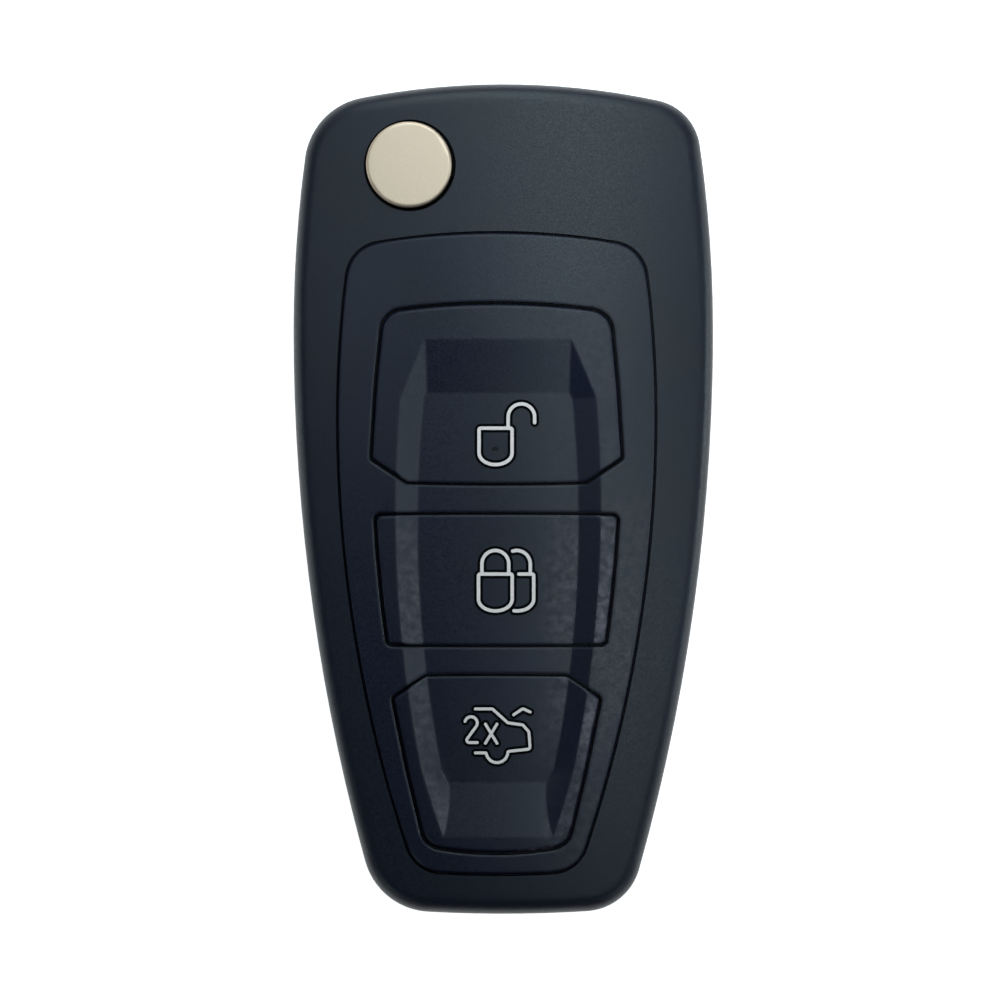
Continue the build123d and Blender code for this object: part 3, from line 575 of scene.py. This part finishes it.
@dataclass(frozen=True)
class PlainMatt(Finish):
    """Opal acrylic sheet, lit softly from below: matt and pale, with the faintest tooth."""

    glow: float = 0.0
    tooth: float = 0.5
    depth: float = 0.005

    def dress(self, tree: bpy.types.NodeTree, shader: bpy.types.Node) -> None:
        """Adds the light that comes through and the sheet's tooth as a low relief.

        Args:
            tree: the material's node tree.
            shader: the material's shader.
        """
        shader.inputs["Emission Color"].default_value = linear(self.colour)
        shader.inputs["Emission Strength"].default_value = self.glow
        tooth = self.relief(tree, self.place(tree), self.tooth, MIXED, self.depth)
        tree.links.new(tooth, shader.inputs["Normal"])


# ABS with a spark-eroded grain: the case halves, a dull navy charcoal
CASE_ABS = MouldedPlastic("moulded_abs_case", "#080e22", 0.43, cloud="#060b1d", painted_glint_share=0.0)
# The same ABS in the face plate and the keys, from finer moulds and a shade bluer
PLATE_ABS = MouldedPlastic(
    "moulded_abs_face_plate",
    "#080e27",
    0.37,
    cloud="#060b20",
    painted_glint_share=0.4,
    crease=0.35,
)
KEY_ABS = MouldedPlastic(
    "moulded_abs_keys",
    "#070d26",
    0.37,
    cloud="#050a20",
    painted_glint="#6d6270",
    painted_glint_share=1.0,
    crease=0.35,
)
# Glass-filled nylon, black: the blade's carrier, which takes the wear of the lock lugs
CARRIER_NYLON = MouldedPlastic("moulded_nylon_carrier", "#15171b", 0.42, cloud="#101215", painted_glint="#2c2f34")
# Unfilled black nylon, dull where the tray is and a little glossier on the small switches
TRAY_NYLON = MouldedPlastic("moulded_nylon_tray", "#1d1d1f", 0.55, cloud="#161618", painted_glint="#37373a")
SWITCH_NYLON = MouldedPlastic("moulded_nylon_switch", "#1a1a1c", 0.50, cloud="#141416", painted_glint="#323234")
# Natural acetal: creamy white and waxy
PLUNGER_ACETAL = MouldedPlastic("moulded_acetal_plunger", "#b9b7ad", 0.45, cloud="#aaa89e", painted_glint="#d8d6cc")
# Zinc casting under a warm silver lacquer: the release button, pale with a soft sheen
BUTTON_ZINC = SatinCasting("lacquered_zinc_button", "#e5cab3", 0.42, metallic=0.7)
# Nickel-plated steel, milled along the blade and ground round the bar: warm, with fine lines
BLADE_STEEL = WorkedSteel("milled_steel_blade", "#c4bcae", 0.30, metallic=1.0, lay=Lay.ALONG_BLADE)
BAR_STEEL = WorkedSteel("ground_steel_bar", "#c2bdb2", 0.36, metallic=1.0, lay=Lay.ALONG_X, depth=0.0006)
# Hard-drawn wire and rolled spring steel: greyer, with the lines of the die
SPRING_STEEL = WorkedSteel("drawn_steel_spring", "#9b9a97", 0.32, metallic=1.0)
# Turned steel under black zinc plating: dark grey and smooth
SCREW_ZINC = PlatedMetal("black_zinc_screw", "#4a4a4d", 0.36, metallic=1.0, shade="#333336")
# Drawn steel cans under bright nickel, and stamped brass: smooth, with soft patches of tone
CELL_NICKEL = PlatedMetal("nickel_plated_can", "#c4c2bd", 0.25, metallic=1.0)
CONTACT_BRASS = PlatedMetal("stamped_brass_contact", "#c9a962", 0.30, metallic=1.0, shade="#a98a4c")
# Green solder mask, glossy, with the copper tracks paler under it
BOARD_MASK = SolderMask("solder_mask_board", "#0f4426", 0.32)
# Silicone rubber and moulded epoxy: both dull, the rubber with a pale bloom
MAT_SILICONE = SoftMoulding("moulded_silicone_mat", "#2f3033", 0.62)
PACKAGE_EPOXY = SoftMoulding("moulded_epoxy_package", "#161618", 0.58, bloom="#222225")
# White ink, and round it a dark halo of painted shade, the shade of an engraved groove, whose low index
# keeps its gloss as faint as it looks
SIGN_INK = PrintedInk("printed_ink_sign", "#ffefec", 0.50, thin="#f2e2e0")
# Painted shade: a dark halo round each sign's line, for the shade of an engraved groove
SIGN_SHADE_HALO = PrintedInk("printed_ink_edge", "#020306", 0.98, ior=1.2, thin="#030508")
# A faint film of black ink, through which the plastic still shines, for the keyhole
FAINT_INK = PrintedInk("printed_ink_faint", "#05070d", 0.40, ior=1.33, thin="#070a12")
# Opal acrylic: the pale sheet that the key lies on
FLOOR_SHEET = PlainMatt("opal_acrylic_floor", "#f4f4f4", 0.85, glow=1.06)


def paint(piece: bpy.types.Object, finish: Finish) -> None:
    """Gives an object one finish in its only material slot."""
    piece.data.materials.clear()
    piece.data.materials.append(finish.material())


def dress_node(node: str, finish: Finish) -> None:
    """Gives a finish to a CAD node that keeps its own mesh.

    Args:
        node: the node's name.
        finish: its material.
    """
    solid = frame["nodes"][node]
    if not solid.material_slots:
        solid.data.materials.append(None)
    for slot in solid.material_slots:
        slot.link = "OBJECT"
        slot.material = finish.material()
    LOG.info("%s: %s", node, finish.name)


def body_of(node: str) -> str:
    """Finds the moving body that a CAD node belongs to."""
    bodies = frame["record"]["behaviour"]["bodies"]
    return next(body for body, nodes in bodies.items() if node in nodes)


def rim_edges(shape: bmesh.types.BMesh, height: float) -> list[bmesh.types.BMEdge]:
    """Finds the outer rim of a shell at the height where it meets the other shell.

    Args:
        shape: the shell's welded mesh.
        height: the height of its open side, in millimetres.

    Returns:
        The longest run of sharp edges that lie at that height.
    """
    level = {
        edge
        for edge in shape.edges
        if edge.is_manifold
        and edge.calc_face_angle() > ROUND_FOLD
        and all(abs(vert.co.z - height * MM) < RIM_MARGIN for vert in edge.verts)
    }
    runs = []
    while level:
        run = [level.pop()]
        for edge in run:
            joined = {other for vert in edge.verts for other in vert.link_edges if other in level}
            level -= joined
            run.extend(joined)
        runs.append(run)
    return max(runs, key=lambda run: sum(edge.calc_length() for edge in run))


def skin_node(
    node: str,
    finish: Finish,
    fold: float = ROUND_FOLD,
    open_side: float | None = None,
) -> bpy.types.Object:
    """Covers a CAD node with a welded, smoothly shaded copy of itself.

    Args:
        node: the node's name.
        finish: the material of the copy.
        fold: the sharpest fold that is shaded smoothly, in radians.
        open_side: the height at which a shell meets the other one, in millimetres.

    Returns:
        The copy, which rides on the node's body and is shown in its place.
    """
    mesh = frame["nodes"][node].data.copy()
    mesh.name = f"{node}_skin"
    if "custom_normal" in mesh.attributes:
        mesh.attributes.remove(mesh.attributes["custom_normal"])
    shape = bmesh.new()
    shape.from_mesh(mesh)
    bmesh.ops.remove_doubles(shape, verts=shape.verts, dist=WELD_DISTANCE)
    bmesh.ops.dissolve_degenerate(shape, edges=shape.edges, dist=WELD_DISTANCE)
    if open_side is not None:
        bmesh.ops.bevel(
            shape,
            geom=rim_edges(shape, open_side),
            offset=RIM_BREAK * MM,
            offset_type="OFFSET",
            segments=1,
            profile=0.5,
            affect="EDGES",
        )
    shape.to_mesh(mesh)
    shape.free()
    mesh.shade_smooth()
    mesh.set_sharp_from_angle(angle=fold)
    skin = link_new(f"{node}_skin", mesh)
    even = skin.modifiers.new("even_normals", "WEIGHTED_NORMAL")
    even.keep_sharp = True
    paint(skin, finish)
    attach(skin, body_of(node))
    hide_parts(node)
    LOG.info("%s: %d faces, %s", skin.name, len(mesh.polygons), finish.name)
    return skin


def arc(centre: Point, radius: float, start: float, end: float, flatten: float = 1.0) -> list[Point]:
    """Points along an arc, one for about each step of it.

    Args:
        centre: the arc's centre, in millimetres.
        radius: its radius in millimetres.
        start: the first point's angle from +X, in degrees.
        end: the last point's angle.
        flatten: the arc's height as a share of a true circle's.

    Returns:
        The points, from start to end.
    """
    count = max(2, round(abs(end - start) / ARC_STEP))
    angles = [math.radians(start + (end - start) * k / count) for k in range(count + 1)]
    return [(centre[0] + radius * math.cos(a), centre[1] + radius * flatten * math.sin(a)) for a in angles]


@dataclass
class StrokeTree:
    """Geometry nodes that lay a painted line on a surface, along every spline of a curve.

    Each point of the curve drops onto the surface and stands over it by its own height.
    A spline that isn't closed gets a round at each of its two ends.
    """

    name: str
    finish: Finish
    ground: bpy.types.Object
    sample: float = 0.06
    corner_points: int = 6
    end_sides: int = 16
    end_depth: float = 0.94
    drop: float = 40.0

    def build(self) -> bpy.types.NodeTree:
        """Builds the tree, with its sizes as named inputs.

        Returns:
            The tree, whose last nodes realise its instances and set its material.
        """
        tree = bpy.data.node_groups.new(self.name, "GeometryNodeTree")
        face = tree.interface
        face.new_socket("Geometry", in_out="INPUT", socket_type="NodeSocketGeometry")
        for label in ("Line Width", "Thickness", "Corner Radius"):
            face.new_socket(label, in_out="INPUT", socket_type="NodeSocketFloat")
        face.new_socket("Geometry", in_out="OUTPUT", socket_type="NodeSocketGeometry")
        given = add_node(tree, "NodeGroupInput").outputs
        rounded = add_node(
            tree,
            "GeometryNodeFilletCurve",
            {
                "Curve": given["Geometry"],
                "Count": self.corner_points,
                "Radius": given["Corner Radius"],
                "Limit Radius": True,
            },
            mode="POLY",
        )
        path = add_node(
            tree,
            "GeometryNodeResampleCurve",
            {"Curve": rounded.outputs["Curve"], "Length": self.sample * MM},
            mode="LENGTH",
        )
        laid = self.lay(tree, path.outputs["Curve"])
        level = add_node(tree, "GeometryNodeSetCurveNormal", {"Curve": laid}, mode="Z_UP")
        section = add_node(
            tree,
            "GeometryNodeCurvePrimitiveQuadrilateral",
            {"Width": given["Line Width"], "Height": given["Thickness"]},
            mode="RECTANGLE",
        )
        line = add_node(
            tree,
            "GeometryNodeCurveToMesh",
            {"Curve": level.outputs["Curve"], "Profile Curve": section.outputs["Curve"], "Fill Caps": True},
        )
        half = add_node(tree, "ShaderNodeMath", {0: given["Line Width"], 1: 0.5}, operation="MULTIPLY")
        lower = add_node(
            tree,
            "ShaderNodeMath",
            {0: given["Thickness"], 1: self.end_depth},
            operation="MULTIPLY",
        )
        disc = add_node(
            tree,
            "GeometryNodeMeshCylinder",
            {
                "Vertices": self.end_sides,
                "Radius": half.outputs["Value"],
                "Depth": lower.outputs["Value"],
            },
        )
        ends = add_node(tree, "GeometryNodeCurveEndpointSelection")
        closed = add_node(tree, "GeometryNodeInputSplineCyclic")
        free = add_node(
            tree,
            "FunctionNodeBooleanMath",
            {0: ends.outputs["Selection"], 1: closed.outputs["Cyclic"]},
            operation="NIMPLY",
        )
        rounds = add_node(
            tree,
            "GeometryNodeInstanceOnPoints",
            {
                "Points": level.outputs["Curve"],
                "Selection": free.outputs["Boolean"],
                "Instance": disc.outputs["Mesh"],
            },
        )
        both = add_node(tree, "GeometryNodeJoinGeometry")
        for part in (line.outputs["Mesh"], rounds.outputs["Instances"]):
            tree.links.new(part, both.inputs["Geometry"])
        real = add_node(tree, "GeometryNodeRealizeInstances", {"Geometry": both.outputs["Geometry"]})
        flat = add_node(
            tree,
            "GeometryNodeSetShadeSmooth",
            {"Geometry": real.outputs["Geometry"], "Shade Smooth": False},
        )
        inked = add_node(
            tree,
            "GeometryNodeSetMaterial",
            {"Geometry": flat.outputs["Geometry"], "Material": self.finish.material()},
        )
        add_node(tree, "NodeGroupOutput", {"Geometry": inked.outputs["Geometry"]})
        return tree

    def lay(self, tree: bpy.types.NodeTree, curve: bpy.types.NodeSocket) -> bpy.types.NodeSocket:
        """Drops the curve onto the ground, and lifts each point by the height it had.

        Args:
            tree: the node tree.
            curve: the socket with the curve.

        Returns:
            The socket with the curve on the ground.
        """
        surface = add_node(
            tree,
            "GeometryNodeObjectInfo",
            {"Object": self.ground},
            transform_space="ORIGINAL",
        ).outputs["Geometry"]
        own = add_node(tree, "GeometryNodeInputPosition").outputs["Position"]
        above = (0.0, 0.0, self.drop * MM)
        start = add_node(tree, "ShaderNodeVectorMath", {0: own, 1: above}, operation="ADD")
        met = add_node(
            tree,
            "GeometryNodeRaycast",
            {
                "Target Geometry": surface,
                "Source Position": start.outputs["Vector"],
                "Ray Direction": (0.0, 0.0, -1.0),
                "Ray Length": self.drop * MM,
            },
        )
        height = add_node(tree, "ShaderNodeSeparateXYZ", {"Vector": own}).outputs["Z"]
        lift = add_node(tree, "ShaderNodeCombineXYZ", {"Z": height}).outputs["Vector"]
        at = add_node(
            tree,
            "ShaderNodeVectorMath",
            {0: met.outputs["Hit Position"], 1: lift},
            operation="ADD",
        )
        placed = add_node(
            tree,
            "GeometryNodeSetPosition",
            {"Geometry": curve, "Position": at.outputs["Vector"]},
        )
        return placed.outputs["Geometry"]


@dataclass
class Sign:
    """A line drawing printed on a key: its place, its strokes and its line."""

    name: str
    node: str
    centre: Point
    line: float
    strokes: list[list[Point]]
    corner: float = 0.15
    film: float = 0.045
    # How far the dark halo of painted shade reaches past the line
    shade_halo_reach: float = 0.24
    edge_film: float = 0.025
    sink: float = 0.02
    layer: float = 0.0015

    def path(self, lift: float) -> bpy.types.Object:
        """Draws the strokes as a curve, each a hair higher than the one before.

        A stroke that ends at its own start is closed.

        Args:
            lift: height of the first stroke's middle over the key, in millimetres.

        Returns:
            The curve object, whose heights are heights over the key's surface.
        """
        data = bpy.data.curves.new(f"{self.name}_path", "CURVE")
        data.dimensions = "3D"
        for number, stroke in enumerate(self.strokes):
            closed = stroke[0] == stroke[-1]
            points = stroke[:-1] if closed else stroke
            spline = data.splines.new("POLY")
            spline.use_cyclic_u = closed
            spline.points.add(len(points) - 1)
            height = (lift + number * self.layer) * MM
            for point, (x, y) in zip(spline.points, points):
                point.co = ((self.centre[0] + x) * MM, (self.centre[1] + y) * MM, height, 1)
        return link_new(data.name, data)

    def ink(self, suffix: str, finish: Finish, width: float, film: float) -> bpy.types.Object:
        """Prints the strokes with one ink.

        Args:
            suffix: what the piece's name ends with.
            finish: the ink.
            width: width of the line in millimetres.
            film: how far its top stands over the key, in millimetres.

        Returns:
            The printed piece, riding on the key.
        """
        thickness = film + self.sink
        path = self.path((film - self.sink) / 2)
        key = bpy.data.objects[f"{self.node}_skin"]
        tree = StrokeTree(f"{self.name}_{suffix}_strokes", finish, key).build()
        sizes = {"Line Width": width, "Thickness": thickness, "Corner Radius": self.corner}
        modifier = path.modifiers.new("strokes", "NODES")
        modifier.node_group = tree
        for socket in tree.interface.items_tree:
            if socket.in_out == "INPUT" and socket.name in sizes:
                modifier[socket.identifier] = sizes[socket.name] * MM
        graph = bpy.context.evaluated_depsgraph_get()
        mesh = bpy.data.meshes.new_from_object(path.evaluated_get(graph), depsgraph=graph)
        bpy.data.objects.remove(path)
        piece = link_new(f"{self.name}_{suffix}", mesh)
        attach(piece, body_of(self.node))
        LOG.info("%s: %d faces", piece.name, len(mesh.polygons))
        return piece

    def print_on_key(self) -> None:
        """Prints the dark halo of painted shade first and the pale line over it."""
        self.ink("edge", SIGN_SHADE_HALO, self.line + 2 * self.shade_halo_reach, self.edge_film)
        self.ink("line", SIGN_INK, self.line, self.film)


@dataclass
class Padlock:
    """The outline of a padlock: a body with a rounded foot and a shackle over it."""

    half_width: float = 1.52
    straight: float = 2.28
    foot: float = 1.05
    shackle: float = 1.21
    shackle_rise: float = 0.92
    behind_start: float = 0.18
    behind_turn: float = -100

    def body(self, x: float = 0.0) -> list[Point]:
        """Gives the outline of the body, whose top bar is at height zero.

        Args:
            x: the middle of the body.

        Returns:
            The points, of which the last is the first again.
        """
        foot = arc((x, -self.straight), self.half_width, 0, -HALF_TURN, self.foot / self.half_width)
        corner = (x + self.half_width, 0.0)
        return [corner, *foot, (x - self.half_width, 0.0), corner]

    def behind(self, x: float) -> list[Point]:
        """Gives the part of a second body that shows behind the first.

        Args:
            x: the middle of the second body.

        Returns:
            The points, from its top bar round to its foot.
        """
        flatten = self.foot / self.half_width
        foot = arc((x, -self.straight), self.half_width, 0, self.behind_turn, flatten)
        return [(x + self.behind_start, 0.0), (x + self.half_width, 0.0), *foot]

    def bow(self, x: float, start: float, left_foot: float | None, right_foot: float) -> list[Point]:
        """Gives the shackle, from its left side over to the foot of its right leg.

        Args:
            x: the middle of the shackle.
            start: where its bend starts, in degrees from +X.
            left_foot: height of the foot of its left leg, or None where it has none.
            right_foot: height of the foot of its right leg.

        Returns:
            The points, from left to right.
        """
        over = arc((x, self.shackle_rise), self.shackle, start, 0)
        left = [] if left_foot is None else [(x - self.shackle, left_foot)]
        return [*left, *over, (x + self.shackle, right_foot)]


@dataclass
class KeySigns:
    """The three signs: an open padlock, two closed ones, and a car with its boot open.

    Points are from the middle of their sign, and spans are in degrees from +X. The cross
    is held as its left, its right, its foot and its top.
    """

    unlock_centre: Point = (-0.70, 6.39)
    lock_centre: Point = (-0.72, -6.77)
    boot_centre: Point = (-0.57, -21.36)
    padlock_line: float = 0.31
    boot_line: float = 0.26
    open_shift: float = 2.33
    open_foot: float = 0.50
    keyhole: Point = (-0.04, -1.87)
    keyhole_line: float = 0.34
    keyhole_reach: float = 0.16
    second_lock: float = 1.94
    second_start: float = 108
    boot_corner: float = 0.22
    roof_and_tail: tuple[Point, ...] = (
        (-1.95, 2.42),
        (-0.41, 2.42),
        (0.97, 1.17),
        (2.34, 0.97),
        (2.88, 0.33),
        (2.99, -1.20),
        (0.97, -1.42),
    )
    wheel_centre: Point = (0.0, -1.45)
    wheel_radius: float = 0.98
    wheel_span: Span = (-6, -172)
    sill: tuple[Point, ...] = ((-0.99, -1.55), (-1.95, -1.55))
    lid: tuple[Point, ...] = ((1.50, 1.89), (2.34, 2.45), (2.99, 2.14))
    two_centre: Point = (-2.34, 1.15)
    two_radius: float = 0.56
    two_span: Span = (165, -30)
    two_foot: tuple[Point, ...] = ((-2.94, -0.62), (-1.78, -0.62))
    cross: tuple[float, float, float, float] = (-1.05, 0.0, -0.68, 1.05)

    def unlock(self) -> Sign:
        """Prints the keyhole of the open padlock, and draws the padlock.

        Returns:
            The sign, whose shackle stands to the right of the body.
        """
        lock = Padlock(half_width=1.49, straight=2.24, shackle=1.195, shackle_rise=1.0)
        strokes = [lock.body(), lock.bow(self.open_shift, HALF_TURN, 0.0, self.open_foot)]
        keyhole = Sign(
            "unlock_keyhole",
            "unlock_key",
            (self.unlock_centre[0] + self.keyhole[0], self.unlock_centre[1] + self.keyhole[1]),
            self.keyhole_line,
            [[(-self.keyhole_reach, 0.0), (self.keyhole_reach, 0.0)]],
        )
        keyhole.ink("edge", FAINT_INK, keyhole.line, keyhole.edge_film)
        return Sign("unlock_sign", "unlock_key", self.unlock_centre, self.padlock_line, strokes)

    def lock(self) -> Sign:
        """Draws two closed padlocks.

        Returns:
            The sign, with the second padlock behind the first.
        """
        lock = Padlock()
        strokes = [
            lock.body(),
            lock.bow(0.0, HALF_TURN, 0.0, 0.0),
            lock.behind(self.second_lock),
            lock.bow(self.second_lock, self.second_start, None, 0.0),
        ]
        return Sign("lock_sign", "lock_key", self.lock_centre, self.padlock_line, strokes)

    def boot(self) -> Sign:
        """Draws a car's rear with its lid lifted, and the sign for pressing twice.

        Returns:
            The sign.
        """
        wheel = arc(self.wheel_centre, self.wheel_radius, *self.wheel_span)
        car = [*self.roof_and_tail, *wheel, *self.sill]
        two = [*arc(self.two_centre, self.two_radius, *self.two_span), *self.two_foot]
        left, right, low, high = self.cross
        strokes = [car, list(self.lid), two, [(left, high), (right, low)], [(right, high), (left, low)]]
        return Sign("boot_sign", "boot_key", self.boot_centre, self.boot_line, strokes, self.boot_corner)

    def build(self) -> None:
        """Prints the three signs on their keys."""
        for sign in (self.unlock(), self.lock(), self.boot()):
            sign.print_on_key()


@dataclass
class Case:
    """The two halves of the case, its screw and the bar for the keyring."""

    parting_height: float = 7.2
    shell_finish: Finish = CASE_ABS
    screw_finish: Finish = SCREW_ZINC
    bar_finish: Finish = BAR_STEEL

    def build(self) -> None:
        """Skins the two shells and dresses what holds them and the keyring."""
        for node in ("front_shell", "back_shell"):
            skin_node(node, self.shell_finish, open_side=self.parting_height)
        skin_node("case_screw", self.screw_finish)
        skin_node("keyring_bar", self.bar_finish)


@dataclass
class Keypad:
    """The face plate, the three keys in it and the rubber mat behind them."""

    keys: tuple[str, ...] = ("unlock", "lock", "boot")

    def build(self) -> None:
        """Skins the plate and the keys, and dresses the mat."""
        skin_node("button_panel", PLATE_ABS, CROWN_FOLD)
        for key in self.keys:
            skin_node(f"{key}_key", KEY_ABS, CROWN_FOLD)
        dress_node("keypad_mat", MAT_SILICONE)


@dataclass
class BladeArm:
    """The carrier with its blade, pin and spring, and the button in its head.

    The button has some play in its hole and sits towards its upper left.
    """

    button_play: Point = (-0.08, 0.07)

    def build(self) -> None:
        """Skins what shows in the open side, and dresses what is inside the head."""
        skin_node("blade_carrier", CARRIER_NYLON)
        skin_node("key_blade", BLADE_STEEL)
        button = skin_node("release_button", BUTTON_ZINC)
        shift = (self.button_play[0] * MM, self.button_play[1] * MM, 0.0)
        button.data.transform(Matrix.Translation(shift))
        for node in ("roll_pin", "flip_spring"):
            dress_node(node, SPRING_STEEL)


@dataclass
class Electronics:
    """Everything on and round the circuit board."""

    keys: tuple[str, ...] = ("unlock", "lock", "boot")

    def build(self) -> None:
        """Dresses the board, its parts, the tray, the cell and its contacts."""
        finishes = {
            "circuit_board": BOARD_MASK,
            "microcontroller": PACKAGE_EPOXY,
            "transponder_chip": PACKAGE_EPOXY,
            "quartz_crystal": CELL_NICKEL,
            "board_tray": TRAY_NYLON,
            "coin_cell": CELL_NICKEL,
            "positive_contact": CONTACT_BRASS,
            "negative_contact": CONTACT_BRASS,
        }
        for key in self.keys:
            finishes[f"{key}_switch"] = SWITCH_NYLON
            finishes[f"{key}_plunger"] = PLUNGER_ACETAL
        for node, finish in finishes.items():
            dress_node(node, finish)


@dataclass
class SoftBox:
    """A square studio light aimed at the key, placed and measured in metres."""

    name: str
    place: tuple[float, float, float]
    size: float
    watts: float
    colour: str = "#def3f7"

    def build(self) -> None:
        """Places the light and turns it to the key."""
        data = bpy.data.lights.new(self.name, "AREA")
        data.shape = "SQUARE"
        data.size = self.size
        data.energy = self.watts
        data.color = linear(self.colour)[:3]
        light = link_new(self.name, data)
        light.location = self.place
        light.rotation_euler = (-Vector(self.place)).to_track_quat("-Z", "Y").to_euler()


@dataclass
class Studio:
    """A pale floor, soft lights close over the key and round it, and a camera straight above.

    The floor's size and the camera's height and near clip are in metres.
    """

    floor_size: float = 6.0
    floor_drop: float = 0.02
    view_width: float = 90.5
    view_centre: Point = (-0.30, -0.09)
    view_plane: float = 13.0
    camera_height: float = 0.70
    sensor: float = 36.0
    near_clip: float = 0.01
    world_level: float = 0.05
    world_colour: str = "#c8dcf0"

    def floor(self) -> None:
        """Lays the floor just under the key."""
        mesh = bpy.data.meshes.new("floor")
        half = self.floor_size / 2
        depth = -self.floor_drop * MM
        corners = [(-half, -half, depth), (half, -half, depth), (half, half, depth), (-half, half, depth)]
        mesh.from_pydata(corners, [], [(0, 1, 2, 3)])
        floor = link_new("floor", mesh)
        paint(floor, FLOOR_SHEET)

    def lights(self) -> None:
        """Sets five lights close over the key, one at its right, two strips and four corner fills.

        The room itself gives a dim bluish light.
        """
        boxes = (
            SoftBox("top_light", (0.0, 0.088, 0.075), 0.08, 0.056),
            SoftBox("left_light", (-0.054, 0.036, 0.12), 0.048, 0.0088),
            SoftBox("main_light", (0.018, 0.036, 0.12), 0.048, 0.0152),
            SoftBox("near_light", (0.036, -0.018, 0.12), 0.048, 0.015),
            SoftBox("far_light", (0.036, 0.06, 0.12), 0.048, 0.0148),
            SoftBox("side_light", (0.27, 0.0, 0.3), 0.12, 0.055),
            SoftBox("right_strip", (0.333, 0.0, 0.07), 0.10, 0.22),
            SoftBox("left_strip", (-0.333, 0.0, 0.07), 0.10, 0.08),
            SoftBox("back_right_fill", (0.27, 0.27, 0.2), 0.10, 0.075),
            SoftBox("back_left_fill", (-0.27, 0.27, 0.2), 0.10, 0.075),
            SoftBox("front_right_fill", (0.27, -0.27, 0.2), 0.10, 0.08),
            SoftBox("front_left_fill", (-0.27, -0.27, 0.2), 0.10, 0.07),
        )
        for box in boxes:
            box.build()
        world = bpy.data.worlds.new("studio")
        world.use_nodes = True
        room = world.node_tree.nodes["Background"]
        room.inputs["Strength"].default_value = self.world_level
        room.inputs["Color"].default_value = linear(self.world_colour)
        bpy.context.scene.world = world

    def camera(self) -> None:
        """Puts the camera straight above, framed as wide as the picture is at the key."""
        data = bpy.data.cameras.new("camera")
        data.sensor_width = self.sensor
        distance = self.camera_height - self.view_plane * MM
        data.lens = self.sensor * distance / (self.view_width * MM)
        data.clip_start = self.near_clip
        camera = link_new("camera", data)
        camera.location = (self.view_centre[0] * MM, self.view_centre[1] * MM, self.camera_height)
        bpy.context.scene.camera = camera

    def build(self) -> None:
        """Sets the whole studio, with colours shown as they are lit."""
        self.floor()
        self.lights()
        self.camera()
        bpy.context.scene.view_settings.view_transform = "Standard"


def main() -> None:
    """Builds the studio and dresses the key, one sub-assembly after another."""
    logging.basicConfig(level=logging.INFO, format="%(message)s")
    for part in (Studio(), Case(), Keypad(), KeySigns(), BladeArm(), Electronics()):
        LOG.info("%s", type(part).__name__)
        part.build()


if __name__ == "__main__":
    main()
